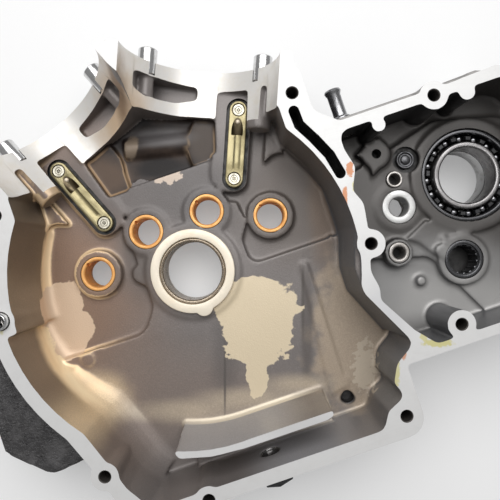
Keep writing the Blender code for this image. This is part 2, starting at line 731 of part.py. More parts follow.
def jet_features(side):
    """The land that each oil jet is let into, and the stud boss beside it."""
    pad_top = FLOOR_Z + JET_PAD_RISE
    middle = (JET_PAD_INNER + JET_PAD_OUTER) / 2
    half = (JET_PAD_OUTER - JET_PAD_INNER) / 2
    foot = side_point(side, JET_FOOT + 0.003, middle)
    end = side_point(side, DECK_FLOOR - half + 0.010, middle)
    stud_foot = side_point(side, STUD_BOSS_FOOT, STUD_OFFSET)
    stud_top = side_point(side, DECK_FLOOR + 0.002, STUD_OFFSET)
    stud_z = SPLIT_Z - STUD_OFFSET
    return [
        prism("jet_pad", capsule(foot, end, half, 6), RECESS_Z - 0.002, pad_top),
        bar("stud_boss", (*stud_foot, stud_z), (*stud_top, stud_z), STUD_BOSS_RADIUS, 14),
    ]


def inner_solids():
    """Bosses, lands and ribs that stand up from the floors."""
    boss_top = FLOOR_Z + CAM_BOSS_RISE
    boss_low = FLOOR_Z + BUSH_PROUD - BUSH_LENGTH + 0.001
    solids = []
    for index, centre in enumerate(cam_centres()):
        solids.append(post(f"cam_boss_{index}", centre, CAM_BOSS_RADIUS, boss_low, boss_top, 24))
    for index, centre in enumerate(cam_centres()[1:3]):
        arm = capsule((0, 0), centre, CAM_BOSS_RADIUS - 0.003, 6)
        solids.append(prism(f"cam_arm_{index}", arm, CHEST_CEILING_Z - 0.004, boss_top - 0.0004))
    main_low = FLOOR_Z - RACE_DEPTH + 0.004
    solids.append(post("main_boss", (0, 0), MAIN_BOSS_RADIUS, main_low, boss_top + 0.0004, 36))
    for side in (1, -1):
        solids += jet_features(side)
    rib = [
        (OIL_RIB_X - OIL_RIB_HALF_WIDTH, OIL_RIB_FOOT, 0),
        (OIL_RIB_X + OIL_RIB_HALF_WIDTH, OIL_RIB_FOOT + 0.0030, 0),
        (OIL_RIB_X + OIL_RIB_HALF_WIDTH + 0.0020, OIL_RIB_TOP, 0.0025),
        (OIL_RIB_X + OIL_RIB_HALF_WIDTH / 2, OIL_RIB_TOP, 0.0025),
    ]
    solids.append(prism("oil_rib", rounded(rib), FLOOR_Z - 0.002, FLOOR_Z + OIL_RIB_RISE))
    for index, (x, y, radius) in enumerate(ROOF_BOSSES):
        solids.append(post(f"roof_boss_{index}", (x, y), radius, GEARBOX_Z - 0.002, SPLIT_Z + MACHINING, 14))
    for index, centre in enumerate(bolt_centres()):
        low, high = SPLIT_Z - BOLT_BOSS_DEPTH, SPLIT_Z + 1.5 * MACHINING
        solids.append(post(f"bolt_boss_{index}", centre, BOLT_BOSS_RADIUS, low, high, 16))
    solids += gearbox_solids()
    return solids + chest_bosses()


def gearbox_solids():
    floor = GEARBOX_Z
    land = [
        (BOX_LEFT + 0.032, -0.0250, 0.004),
        (NEEDLE_AT[0] - 0.014, NEEDLE_AT[1] + 0.004, 0.003),
        (NEEDLE_AT[0] + 0.004, NEEDLE_AT[1] + 0.014, 0.003),
        (NEEDLE_AT[0] - 0.010, -0.0200, 0.004),
    ]
    shelf = [
        (BOX_LEFT - 0.002, -0.0300, 0.004),
        (BOX_LEFT + 0.040, -0.0420, 0.010),
        (BOX_LEFT + 0.065, BOX_BOTTOM - 0.002, 0.004),
        (BOX_RIGHT + 0.002, BOX_BOTTOM - 0.002, 0.004),
        (BOX_RIGHT + 0.002, 0.0300, 0.020),
        (BEARING_AT[0] - 0.010, 0.0440, 0.016),
        (BOX_LEFT + 0.034, 0.0340, 0.008),
        (BOX_LEFT - 0.002, 0.0260, 0.003),
    ]
    solids = [
        prism("box_shelf", rounded(shelf), floor - 0.002, floor + 0.003),
        post("drive_boss", BEARING_AT, BEARING_BOSS_RADIUS, DRIVE_BOSS_END_Z, floor + 0.0055, 40),
        post("needle_boss", NEEDLE_AT, NEEDLE_BOSS_RADIUS, floor - 0.020, floor + 0.003 + NEEDLE_BOSS_RISE, 26),
        post("shift_boss", SHIFT_BUSH_AT, SHIFT_BUSH_RADIUS + 0.005, floor - 0.014, floor + 0.0038, 24),
        post("pawl_boss", PAWL_BOSS_AT, 0.0100, floor - 0.004, floor + 0.0060, 20),
        post("lower_boss", LOWER_SLEEVE_AT, LOWER_BOSS_RADIUS, floor - 0.008, floor + LOWER_BOSS_RISE, 20),
        prism("needle_land", rounded(land), floor - 0.002, floor + 0.0050),
        bar("dome", (*DOME_AT, floor - 0.002), (*DOME_AT, floor + 0.0040), DOME_RADIUS, 14, 0.0030),
    ]
    spokes = 7
    for spoke in range(spokes):
        angle = 2 * math.pi * (spoke + 0.3) / spokes
        reach = 0.0355 if math.cos(angle) > 0.5 else 0.0447
        middle = BEARING_AT[0] + reach * math.cos(angle), BEARING_AT[1] + reach * math.sin(angle)
        outline = capsule(BEARING_AT, middle, 0.0028, 3)
        solids.append(prism(f"spoke_{spoke}", outline, GEARBOX_BACK_Z - 0.014, GEARBOX_BACK_Z + 0.0023))
    return solids


def chest_bosses():
    """Cover screw bosses let into the cam chest wall."""
    return [
        post(f"chest_boss_{index}", centre, CHEST_BOSS_RADIUS, -MACHINING * 1.5, CHEST_CEILING_Z + 0.0005, 12)
        for index, centre in enumerate(chest_screws())
    ]


def chest_screws():
    """Screw centres at the corners of the chest wall and half way along its top and foot."""
    corners = grown(chest_corners(), CHEST_WALL / 2)
    places = []
    for x, y, radius in corners:
        inward = radius * 0.30 / math.hypot(x, y)
        places.append((x * (1 - inward), y * (1 - inward)))
    top = sum(place[1] for place in corners[4:6]) / 2
    low = sum(place[1] for place in corners[0:2]) / 2
    return places + [(0, top), (0, low)]


def machined_holes():
    """Every bore, bolt hole and oil way, cut last as on the real casting."""
    top = SPLIT_Z + 2 * MACHINING
    through = -2 * MACHINING
    floor = GEARBOX_Z
    cuts = []
    for index, centre in enumerate(cam_centres()):
        cuts.append(post(f"cam_bore_{index}", centre, BUSH_RADIUS + FIT, through, top, 28))
    seat = FLOOR_Z + CAM_BOSS_RISE + 0.0008
    cuts.append(post("insert_seat", (0, 0), INSERT_BODY_RADIUS + FIT, seat - RACE_DEPTH, top, 40))
    cuts.append(post("main_bore", (0, 0), MAIN_BORE, through, top, 36))
    cuts.append(post("insert_face", (0, 0), INSERT_RADIUS + 0.0030, seat - 0.0004, seat + 0.010, 36))
    for side in (1, -1):
        cuts += jet_cuts(side)
        for offset in (-STUD_OFFSET, STUD_OFFSET):
            cuts += stud_cuts(side, offset)
    cuts += split_face_cuts(top)
    cuts += [
        post("bearing_bore", BEARING_AT, BEARING_RADIUS + FIT, bearing_back() - FIT, top, 44),
        post("drive_bore", BEARING_AT, SEAL_RADIUS + FIT, through, top, 36),
        post("needle_bore", NEEDLE_AT, NEEDLE_CUP_RADIUS + FIT, floor - 0.013, top, 26),
        post("shift_bore", SHIFT_BUSH_AT, SHIFT_BUSH_RADIUS + FIT, floor + 0.0030 - SHIFT_BUSH_LENGTH, top, 24),
        post("shift_through", SHIFT_BUSH_AT, SHIFT_BUSH_BORE + 0.0002, through, top, 18),
        post("pivot_bore", PIVOT_SLEEVE_AT, PIVOT_SLEEVE_RADIUS + FIT, GEARBOX_BACK_Z + 0.0015, top, 16),
        post("plug_well", PLUG_AT, PLUG_WELL_RADIUS, floor + 0.003 - PLUG_WELL_DEPTH, top, 20),
        post("plug_hole", PLUG_AT, PLUG_RADIUS + FIT - 0.0015, GEARBOX_BACK_Z + 0.0015, top, 16),
        post("pawl_hole", PAWL_BOSS_AT, PAWL_HOLE_RADIUS, GEARBOX_BACK_Z + 0.003, top, 12),
        post("lower_bore", LOWER_SLEEVE_AT, LOWER_SLEEVE_RADIUS + FIT, lower_sleeve_low() - FIT, top, 20),
    ]
    for index, height in enumerate(LUG_HEIGHTS):
        cuts.append(post(f"lug_hole_{index}", (LUG_X, height), LUG_HOLE_RADIUS, through, top, 16))
    for index, centre in enumerate(chest_screws()):
        cuts.append(post(f"chest_screw_{index}", centre, CHEST_SCREW_RADIUS, through, CHEST_SCREW_DEPTH, 8))
    for index, centre in enumerate(foot_centres()):
        cuts.append(post(f"foot_hole_{index}", centre, FOOT_HOLE_RADIUS, through, FOOT_HOLE_DEPTH, 8))
    mount_z = (MOUNT_LOW_Z + MOUNT_HIGH_Z) / 2
    for index, height in enumerate(MOUNT_HOLES):
        face, deep = (-MOUNT_REACH - 0.002, height, mount_z), (-MOUNT_REACH + MOUNT_HOLE_DEPTH, height, mount_z)
        cuts.append(bar(f"mount_hole_{index}", face, deep, MOUNT_HOLE_RADIUS, 12))
    drain = (DRAIN_AT_X, -SUMP_BOTTOM - DRAIN_HEAD_THICK, DRAIN_Z)
    drain_in = (DRAIN_AT_X, -SUMP_BOTTOM + SUMP_WALL + 0.002, DRAIN_Z)
    cuts.append(bar("drain_hole", drain, drain_in, DRAIN_HOLE_RADIUS + FIT, 20))
    roof = box_roof()
    nipple = (NIPPLE_X, roof + 0.004, NIPPLE_Z)
    cuts.append(bar("nipple_hole", (NIPPLE_X, BOX_TOP - 0.002, NIPPLE_Z), nipple, NIPPLE_SPIGOT_RADIUS + FIT, 16))
    oil_at = (OIL_RIB_X + 0.0045, OIL_RIB_FOOT - 0.0045)
    cuts.append(post("oil_hole", oil_at, OIL_HOLE_RADIUS, FLOOR_Z - 0.007, top, 12))
    return cuts


def box_roof():
    """Outer face of the gearbox roof, where the hose nipple stands."""
    return BOX_TOP + BOX_RIM + BOX_FLARE


def lower_sleeve_low():
    return GEARBOX_Z + LOWER_BOSS_RISE - LOWER_SLEEVE_LENGTH + 0.0004


def bearing_back():
    return GEARBOX_Z + 0.0055 - BEARING_PROUD - BEARING_WIDTH


def split_face_cuts(top):
    """Bolt holes, two of them counterbored for hollow dowels, and the oil channel between two holes."""
    cuts = []
    for index, centre in enumerate(bolt_centres()):
        low = SPLIT_Z - BOLT_BOSS_DEPTH + 0.004
        cuts.append(post(f"bolt_hole_{index}", centre, BOLT_RADIUS, low, top, 12))
    for index, centre in enumerate((FRONT_BOLT_AT, REAR_LOW_BOLT_AT)):
        low = SPLIT_Z - CASE_DOWEL_SUNK - FIT
        cuts.append(post(f"dowel_hole_{index}", centre, CASE_DOWEL_RADIUS + FIT, low, top, 20))
    for index, (start, end) in enumerate(zip(SLOT_PATH, SLOT_PATH[1:])):
        widened = SLOT_RADIUS + 0.00002 * index
        cuts.append(prism(f"oil_slot_{index}", capsule(start, end, widened, 6), SPLIT_Z - SLOT_DEPTH, top))
    cuts.append(post("slot_end", SLOT_PATH[-1], SLOT_RADIUS - 0.0005, SPLIT_Z - SLOT_DEPTH - 0.010, top, 12))
    return cuts


def jet_cuts(side):
    """The slot that an oil jet lies in and its two screw holes."""
    foot = side_point(side, JET_FOOT, JET_OFFSET)
    head = side_point(side, JET_FOOT + JET_SCREW_PITCH, JET_OFFSET)
    slot = capsule(foot, head, JET_HALF_WIDTH + JET_SLOT_GAP, 8)
    slot_z = jet_seat()
    cuts = [prism("jet_slot", slot, slot_z, FLOOR_Z + 0.010)]
    for place in (foot, head):
        low = jet_seat() + JET_THICK - SCREW_REACH - 0.0006
        cuts.append(post("jet_screw_hole", place, SCREW_SHANK_RADIUS + FIT, low, FLOOR_Z + 0.010, 12))
    return cuts


def jet_seat():
    return FLOOR_Z + JET_PAD_RISE - JET_SLOT_DEPTH


def stud_cuts(side, offset):
    """A cylinder stud hole in the deck, with a counterbore for its hollow dowel."""
    stud_z = SPLIT_Z - STUD_OFFSET
    above = (*side_point(side, DECK_HEIGHT + 0.005, offset), stud_z)
    deep = (*side_point(side, DECK_FLOOR - STUD_DEEP, offset), stud_z)
    seat = (*side_point(side, DECK_HEIGHT - DOWEL_SEAT - FIT, offset), stud_z)
    return [
        bar("stud_hole", deep, above, STUD_HOLE_RADIUS - 0.0009, 12),
        bar("stud_dowel_seat", seat, above, DOWEL_RADIUS + FIT, 18),
    ]


def build_casting(finish):
    casting = post("crankcase_casting", (0, 0), CHAMBER_RADIUS + WALL, FLOOR_Z - FLOOR_THICK, SPLIT_Z - FLANGE_THICK / 2, 72)
    combine(casting, "UNION", outer_solids())
    cavities = chamber_cavities() + spigot_cavities(1) + spigot_cavities(-1)
    combine(casting, "DIFFERENCE", cavities + gearbox_cavities() + chest_cavity())
    drain = (DRAIN_AT_X, -SUMP_BOTTOM + 0.002, DRAIN_Z)
    drain_end = (DRAIN_AT_X, -SUMP_BOTTOM - 0.003, DRAIN_Z)
    combine(casting, "UNION", inner_solids() + [bar("drain_boss", drain, drain_end, DRAIN_BOSS_RADIUS, 20)])
    reach = 2 * (BOX_RIGHT + BOX_END_RIM)
    face = [(-reach, -reach), (reach, -reach), (reach, reach), (-reach, reach)]
    faces = [prism("split_facing", face, SPLIT_Z, 2 * SPLIT_Z), prism("chest_facing", face, -SPLIT_Z, 0)]
    combine(casting, "DIFFERENCE", faces)
    combine(casting, "DIFFERENCE", machined_holes())
    return dress(casting, finish)


def cam_bush(name, centre, finish):
    """Flush bronze bush with a small lead chamfer at each mouth."""
    top = FLOOR_Z + BUSH_PROUD
    low = top - BUSH_LENGTH
    chamfer = 0.0006
    profile = [
        (BUSH_BORE, low + chamfer),
        (BUSH_BORE + chamfer, low),
        (BUSH_RADIUS, low),
        (BUSH_RADIUS, top),
        (BUSH_BORE + chamfer, top),
        (BUSH_BORE, top - chamfer),
    ]
    bush = turned(name, profile, 30)
    bush.location = (*centre, 0)
    return dress(bush, finish)


def main_insert(finish):
    """Flanged steel insert with an anti-turn tab at its foot."""
    seat = FLOOR_Z + CAM_BOSS_RISE + 0.0008
    flange_top = seat + INSERT_FLANGE
    inner = RACE_RADIUS + FIT
    profile = [
        (inner, seat - RACE_DEPTH + 0.0025),
        (INSERT_BODY_RADIUS, seat - RACE_DEPTH + 0.0025),
        (INSERT_BODY_RADIUS, seat),
        (INSERT_RADIUS, seat),
        (INSERT_RADIUS, flange_top),
        (inner, flange_top),
    ]
    insert = turned("main_bearing_insert", profile, 40)
    tip = Vector((INSERT_TAB_REACH * math.cos(INSERT_TAB_ANGLE), INSERT_TAB_REACH * math.sin(INSERT_TAB_ANGLE)))
    root = tip * ((INSERT_BODY_RADIUS - 0.0005) / INSERT_TAB_REACH)
    centre = tip * ((INSERT_TAB_REACH - INSERT_TAB_RADIUS) / INSERT_TAB_REACH)
    outward = tip.normalized()
    across = Vector((-outward.y, outward.x))
    outline = []
    for step in range(9):
        swing = math.radians(-80 + 20 * step)
        outline.append(centre + outward * INSERT_TAB_RADIUS * math.cos(swing) + across * INSERT_TAB_RADIUS * math.sin(swing))
    outline += [root + across * 0.0075, root - across * 0.0075]
    tab = prism("insert_tab", [tuple(place) for place in outline], seat, flange_top)
    return dress(combine(insert, "UNION", [tab]), finish)


def main_race(finish):
    """Hardened outer race of the crank roller bearing, pressed in the insert."""
    top = FLOOR_Z + CAM_BOSS_RISE + 0.0008 + INSERT_FLANGE
    low = FLOOR_Z + CAM_BOSS_RISE + 0.0008 - RACE_DEPTH + FIT
    chamfer = 0.0008
    profile = [
        (MAIN_BORE + 0.0004, low),
        (RACE_RADIUS, low),
        (RACE_RADIUS, top - chamfer),
        (RACE_RADIUS - chamfer, top),
        (MAIN_BORE + 0.0004 + chamfer, top),
        (MAIN_BORE + 0.0004, top - chamfer),
    ]
    return dress(turned("main_bearing_race", profile, 40), finish)


def oil_jet(name, side, finish):
    """Brass jet body: a round-ended bar with countersunk screw holes, a slanting nozzle port and a milled groove."""
    foot = side_point(side, JET_FOOT, JET_OFFSET)
    head = side_point(side, JET_FOOT + JET_SCREW_PITCH, JET_OFFSET)
    low = jet_seat() + FIT
    top = low + JET_THICK
    body = prism(name, capsule(foot, head, JET_HALF_WIDTH, 10), low, top)
    cuts = []
    for place in (foot, head):
        cuts.append(post("jet_hole", place, SCREW_SHANK_RADIUS + FIT, low - 0.001, top + 0.001, 24))
        cuts.append(post("jet_countersink", place, SCREW_HEAD_RADIUS + FIT, top - SCREW_HEAD_DEPTH, top + 0.001, 28))
    port_start = side_point(side, JET_FOOT + JET_SCREW_PITCH - 0.0175, JET_OFFSET)
    port_end = side_point(side, JET_FOOT + JET_SCREW_PITCH - 0.0055, JET_OFFSET)
    cuts.append(bar("nozzle_cut", (*port_start, top + 0.0005), (*port_end, top + 0.0062), 0.0046, 20, 0.0060))
    groove_start = side_point(side, JET_FOOT + 0.0080, JET_OFFSET + 0.0010)
    groove_end = side_point(side, JET_FOOT + JET_SCREW_PITCH - 0.0150, JET_OFFSET + 0.0010)
    cuts.append(prism("groove_cut", capsule(groove_start, groove_end, 0.0009, 4), top - 0.0010, top + 0.001))
    return dress(combine(body, "DIFFERENCE", cuts), finish)


def jet_screw(name, side, along, finish):
    """Flush screw with a six-lobe drive hole."""
    place = side_point(side, along, JET_OFFSET)
    top = jet_seat() + FIT + JET_THICK - 0.0002
    head_low = top - SCREW_HEAD_DEPTH + 2 * FIT
    reach = top - SCREW_REACH
    socket = top - SCREW_HEAD_DEPTH * 0.6
    profile = [
        (0, reach),
        (SCREW_SHANK_RADIUS, reach),
        (SCREW_SHANK_RADIUS, head_low),
        (SCREW_HEAD_RADIUS, head_low),
        (SCREW_HEAD_RADIUS, top - 0.0004),
        (SCREW_HEAD_RADIUS - 0.0004, top),
        (SCREW_SOCKET_RADIUS, top),
        (SCREW_SOCKET_RADIUS, socket),
        (0, socket - 0.0004),
    ]
    screw = turned(name, profile, 14)
    screw.location = (*place, 0)
    return dress(screw, finish)


def stud_dowel(name, side, offset, finish):
    """Hollow steel sleeve that centres a cylinder on its deck."""
    low = DECK_HEIGHT - DOWEL_SEAT
    chamfer = 0.0006
    length = DOWEL_SEAT + DOWEL_PROUD
    profile = [
        (DOWEL_BORE, 0),
        (DOWEL_RADIUS, 0),
        (DOWEL_RADIUS, length - chamfer),
        (DOWEL_RADIUS - chamfer, length),
        (DOWEL_BORE, length),
    ]
    dowel = turned(name, profile, 20)
    dowel.rotation_euler = (-math.pi / 2, 0, -side * V_HALF_ANGLE)
    dowel.location = (*side_point(side, low, offset), SPLIT_Z - STUD_OFFSET)
    return dress(dowel, finish)


def case_dowel(name, centre, finish):
    low = SPLIT_Z - CASE_DOWEL_SUNK
    dowel = tube(name, CASE_DOWEL_RADIUS, BOLT_RADIUS + 0.0004, low, low + CASE_DOWEL_LENGTH, 20)
    dowel.location = (*centre, 0)
    return dress(dowel, finish)


def drive_bearing(steel, cage_finish, seal_finish):
    """Ball bearing of the gearbox output shaft, its spacer and its oil seal, each built on the bearing's axis."""
    low = bearing_back()
    top = low + BEARING_WIDTH
    middle = (low + top) / 2
    track = (INNER_RING_RADIUS + OUTER_RING_BORE) / 2
    edge = 0.0008
    groove = BALL_RADIUS + FIT
    lip = math.sqrt(groove**2 - (track - INNER_RING_RADIUS) ** 2)
    arc = []
    for step in range(4):
        swing = math.asin(lip / groove) * (step * 2 / 3 - 1)
        arc.append((track - groove * math.cos(swing), middle + groove * math.sin(swing)))
    inner = [
        (BEARING_BORE, low),
        (INNER_RING_RADIUS - edge, low),
        (INNER_RING_RADIUS, low + edge),
        *arc,
        (INNER_RING_RADIUS, top - edge),
        (INNER_RING_RADIUS - edge, top),
        (BEARING_BORE + edge, top),
        (BEARING_BORE, top - edge),
    ]
    outer_arc = [(2 * track - radius, z) for radius, z in reversed(arc)]
    outer = [
        (OUTER_RING_BORE, low),
        (BEARING_RADIUS - edge, low),
        (BEARING_RADIUS, low + edge),
        (BEARING_RADIUS, top - edge),
        (BEARING_RADIUS - edge, top),
        (OUTER_RING_BORE, top),
        *outer_arc,
    ]
    inner_ring = dress(turned("drive_bearing_inner_ring", inner, 36), steel)
    outer_ring = dress(turned("drive_bearing_outer_ring", outer, 40), steel)
    cage = tube(
        "drive_bearing_cage_and_balls",
        track + CAGE_HALF_THICK,
        track - CAGE_HALF_THICK,
        middle - CAGE_HALF_WIDTH,
        middle + CAGE_HALF_WIDTH,
        32,
    )
    balls = []
    for index in range(BALL_COUNT):
        angle = 2 * math.pi * (index + 0.5) / BALL_COUNT
        bm = bmesh.new()
        bmesh.ops.create_uvsphere(bm, u_segments=8, v_segments=5, radius=BALL_RADIUS)
        place = (track * math.cos(angle), track * math.sin(angle), middle)
        bmesh.ops.translate(bm, verts=bm.verts, vec=place)
        balls.append(link(f"ball_{index}", bm))
    cage = dress(combine(cage, "UNION", balls), cage_finish)
    spacer = tube("output_shaft_spacer", SPACER_RADIUS, BEARING_BORE, low - FIT - SPACER_LENGTH, low - FIT, 36)
    seal_low = DRIVE_BOSS_END_Z + 0.0015
    seal = tube("output_shaft_seal", SEAL_RADIUS, SEAL_BORE, seal_low, seal_low + SEAL_WIDTH, 36)
    pieces = [inner_ring, outer_ring, cage, dress(spacer, steel), dress(seal, seal_finish)]
    for piece in pieces:
        piece.location = (*BEARING_AT, 0)
    return pieces


def needle_bearing(steel, dark):
    """Drawn cup with a lipped mouth, and the caged needles that turn in it."""
    top = GEARBOX_Z + 0.003 + NEEDLE_BOSS_RISE
    low = top - NEEDLE_LENGTH - 2 * NEEDLE_CUP_WALL
    inside = NEEDLE_CUP_RADIUS - NEEDLE_CUP_WALL
    lip = inside - 0.0012
    profile = [
        (lip, low),
        (NEEDLE_CUP_RADIUS, low),
        (NEEDLE_CUP_RADIUS, top),
        (lip, top),
        (lip, top - NEEDLE_CUP_WALL),
        (inside, top - NEEDLE_CUP_WALL),
        (inside, low + NEEDLE_CUP_WALL),
        (lip, low + NEEDLE_CUP_WALL),
    ]
    cup = dress(turned("needle_bearing_cup", profile, 36), steel)
    track = inside - FIT - NEEDLE_RADIUS
    gap = FIT
    cage_low, cage_top = low + NEEDLE_CUP_WALL + gap, top - NEEDLE_CUP_WALL - gap
    ring = tube("needle_bearing_needles", track + 0.0004, track - 0.0004, cage_low, cage_top, 28)
    needles = []
    for index in range(NEEDLE_COUNT):
        angle = 2 * math.pi * index / NEEDLE_COUNT
        place = (track * math.cos(angle), track * math.sin(angle))
        needles.append(post(f"needle_{index}", place, NEEDLE_RADIUS, cage_low + 0.0008, cage_top - 0.0008, 8))
    needles_set = dress(combine(ring, "UNION", needles), dark)
    for piece in (cup, needles_set):
        piece.location = (*NEEDLE_AT, 0)
    return [cup, needles_set]


def stepped_sleeve(name, centre, outer, inner, low, length, finish):
    """Plain sleeve with a chamfered mouth."""
    top = low + length
    chamfer = min(0.0007, (outer - inner) / 3)
    profile = [
        (inner, low),
        (outer, low),
        (outer, top - chamfer / 2),
        (outer - chamfer / 2, top),
        (inner + chamfer, top),
        (inner, top - chamfer),
    ]
    sleeve = turned(name, profile, 24)
    sleeve.location = (*centre, 0)
    return dress(sleeve, finish)


def detent_plug(finish):
    """Headed plug in its counterbored well, with a dished face."""
    head_low = GEARBOX_Z + 0.003 - PLUG_WELL_DEPTH + FIT
    top = head_low + 0.0028
    shank = PLUG_RADIUS - 0.0015
    profile = [
        (0, head_low - PLUG_LENGTH * 0.6),
        (shank, head_low - PLUG_LENGTH * 0.6),
        (shank, head_low),
        (PLUG_RADIUS, head_low),
        (PLUG_RADIUS, top - 0.0005),
        (PLUG_RADIUS - 0.0005, top),
        (PLUG_RADIUS - 0.0014, top),
        (PLUG_RADIUS - 0.0018, top - 0.0009),
        (PLUG_RADIUS - 0.0030, top - 0.0009),
        (PLUG_RADIUS - 0.0034, top + 0.0004),
        (0, top + 0.0006),
    ]
    plug = turned("detent_plug", profile, 20)
    plug.location = (*PLUG_AT, 0)
    return dress(plug, finish)


def hose_nipple(finish):
    """Steel nipple standing on the gearbox roof, with a collar at each end."""
    collar, base = NIPPLE_COLLAR * 0.35, NIPPLE_COLLAR
    height = NIPPLE_HEIGHT
    profile = [
        (NIPPLE_BORE, -NIPPLE_SPIGOT_LENGTH),
        (NIPPLE_SPIGOT_RADIUS, -NIPPLE_SPIGOT_LENGTH),
        (NIPPLE_SPIGOT_RADIUS, 0),
        (NIPPLE_COLLAR_RADIUS, 0),
        (NIPPLE_COLLAR_RADIUS, base * 0.7),
        (NIPPLE_RADIUS, base),
        (NIPPLE_RADIUS, height - collar * 2),
        (NIPPLE_COLLAR_RADIUS - 0.0006, height - collar),
        (NIPPLE_COLLAR_RADIUS - 0.0010, height),
        (NIPPLE_BORE, height),
    ]
    nipple = turned("hose_nipple", profile, 20)
    nipple.rotation_euler = (-math.pi / 2, 0, 0)
    nipple.location = (NIPPLE_X, box_roof() + FIT, NIPPLE_Z)
    return dress(nipple, finish)


def drain_plug(steel, copper):
    """Hexagon plug screwed up into the sump, on a sealing washer."""
    face = -SUMP_BOTTOM - 0.003
    washer_thick = 0.0015
    washer = tube("drain_washer", DRAIN_HEAD_RADIUS + 0.0015, DRAIN_HOLE_RADIUS + FIT, FIT, FIT + washer_thick, 24)
    washer.rotation_euler = (math.pi / 2, 0, 0)
    washer.location = (DRAIN_AT_X, face, DRAIN_Z)
    seat = 2 * FIT + washer_thick
    head = prism("drain_plug", circle(DRAIN_HEAD_RADIUS, 6), seat, seat + DRAIN_HEAD_THICK)
    shank = post("drain_shank", (0, 0), DRAIN_HOLE_RADIUS, -SUMP_WALL - 0.001, seat + 0.002, 28)
    plug = combine(head, "UNION", [shank])
    plug.rotation_euler = (math.pi / 2, 0, 0)
    plug.location = (DRAIN_AT_X, face, DRAIN_Z)
    return [dress(plug, steel), dress(washer, copper)]


def centre_on_floor():
    """Hangs every piece on one empty and brings the whole half over the middle of the ground plane."""
    bpy.context.view_layer.update()
    pieces = [o for o in bpy.context.scene.objects if o.type == "MESH"]
    corners = [piece.matrix_world @ vert.co for piece in pieces for vert in piece.data.vertices]
    low = Vector(min(corner[axis] for corner in corners) for axis in range(3))
    high = Vector(max(corner[axis] for corner in corners) for axis in range(3))
    frame = bpy.data.objects.new("crank_axis", None)
    bpy.context.scene.collection.objects.link(frame)
    for piece in pieces:
        piece.parent = frame
    frame.location = (-(low.x + high.x) / 2, -(low.y + high.y) / 2, -low.z)


def build():
    for old in list(bpy.data.objects):
        bpy.data.objects.remove(old)
    aluminium = material("cast aluminium", (0.42, 0.40, 0.39), 0.45, 0.9)
    bronze = material("bearing bronze", (0.78, 0.42, 0.16), 0.30, 1.0)
    steel = material("ground steel", (0.66, 0.66, 0.67), 0.22, 1.0)
    brass = material("plated brass", (0.78, 0.72, 0.52), 0.28, 1.0)
    screw_steel = material("screw steel", (0.62, 0.60, 0.52), 0.30, 1.0)
    dark_steel = material("oiled dark steel", (0.16, 0.16, 0.17), 0.35, 1.0)
    rubber = material("seal rubber", (0.04, 0.04, 0.04), 0.6, 0.0)
    copper = material("washer copper", (0.72, 0.40, 0.28), 0.35, 1.0)
    insert_steel = material("insert steel", (0.80, 0.77, 0.70), 0.30, 1.0)

    build_casting(aluminium)
    for number, centre in enumerate(cam_centres(), 1):
        cam_bush(f"cam_bush_{number}", centre, bronze)
    main_insert(insert_steel)
    main_race(steel)
    for side, word in ((-1, "front"), (1, "rear")):
        oil_jet(f"{word}_oil_jet", side, brass)
        jet_screw(f"{word}_jet_lower_screw", side, JET_FOOT, screw_steel)
        jet_screw(f"{word}_jet_upper_screw", side, JET_FOOT + JET_SCREW_PITCH, screw_steel)
        stud_dowel(f"{word}_deck_inner_dowel", side, -STUD_OFFSET, steel)
        stud_dowel(f"{word}_deck_outer_dowel", side, STUD_OFFSET, steel)
    case_dowel("front_case_dowel", FRONT_BOLT_AT, steel)
    case_dowel("gearbox_case_dowel", REAR_LOW_BOLT_AT, steel)
    drive_bearing(steel, dark_steel, rubber)
    needle_bearing(steel, dark_steel)
    shift_low = GEARBOX_Z + 0.0034 - SHIFT_BUSH_LENGTH + FIT
    stepped_sleeve(
        "shift_shaft_bush", SHIFT_BUSH_AT, SHIFT_BUSH_RADIUS, SHIFT_BUSH_BORE, shift_low, SHIFT_BUSH_LENGTH, steel
    )
    pivot_low = GEARBOX_Z + 0.0036 - PIVOT_SLEEVE_LENGTH + 0.0015
    stepped_sleeve(
        "pivot_sleeve", PIVOT_SLEEVE_AT, PIVOT_SLEEVE_RADIUS, PIVOT_SLEEVE_BORE, pivot_low, PIVOT_SLEEVE_LENGTH, steel
    )
    stepped_sleeve(
        "fork_rail_sleeve",
        LOWER_SLEEVE_AT,
        LOWER_SLEEVE_RADIUS,
        LOWER_SLEEVE_BORE,
        lower_sleeve_low(),
        LOWER_SLEEVE_LENGTH,
        steel,
    )
    detent_plug(dark_steel)
    hose_nipple(steel)
    drain_plug(dark_steel, copper)
    centre_on_floor()


build()
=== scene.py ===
"""Looks of a V-twin crankcase half that lies on its outer side with the split face up.

Sizes are metres from the crank axis, as on the casting's drawing: +X towards the gearbox, +Y up between the
cylinders, +Z out of the split face. Each piece is moved to the crank axis' place in the part when it is finished.
"""

import math

import bmesh
import bpy
import numpy as np
from mathutils import Matrix, Vector


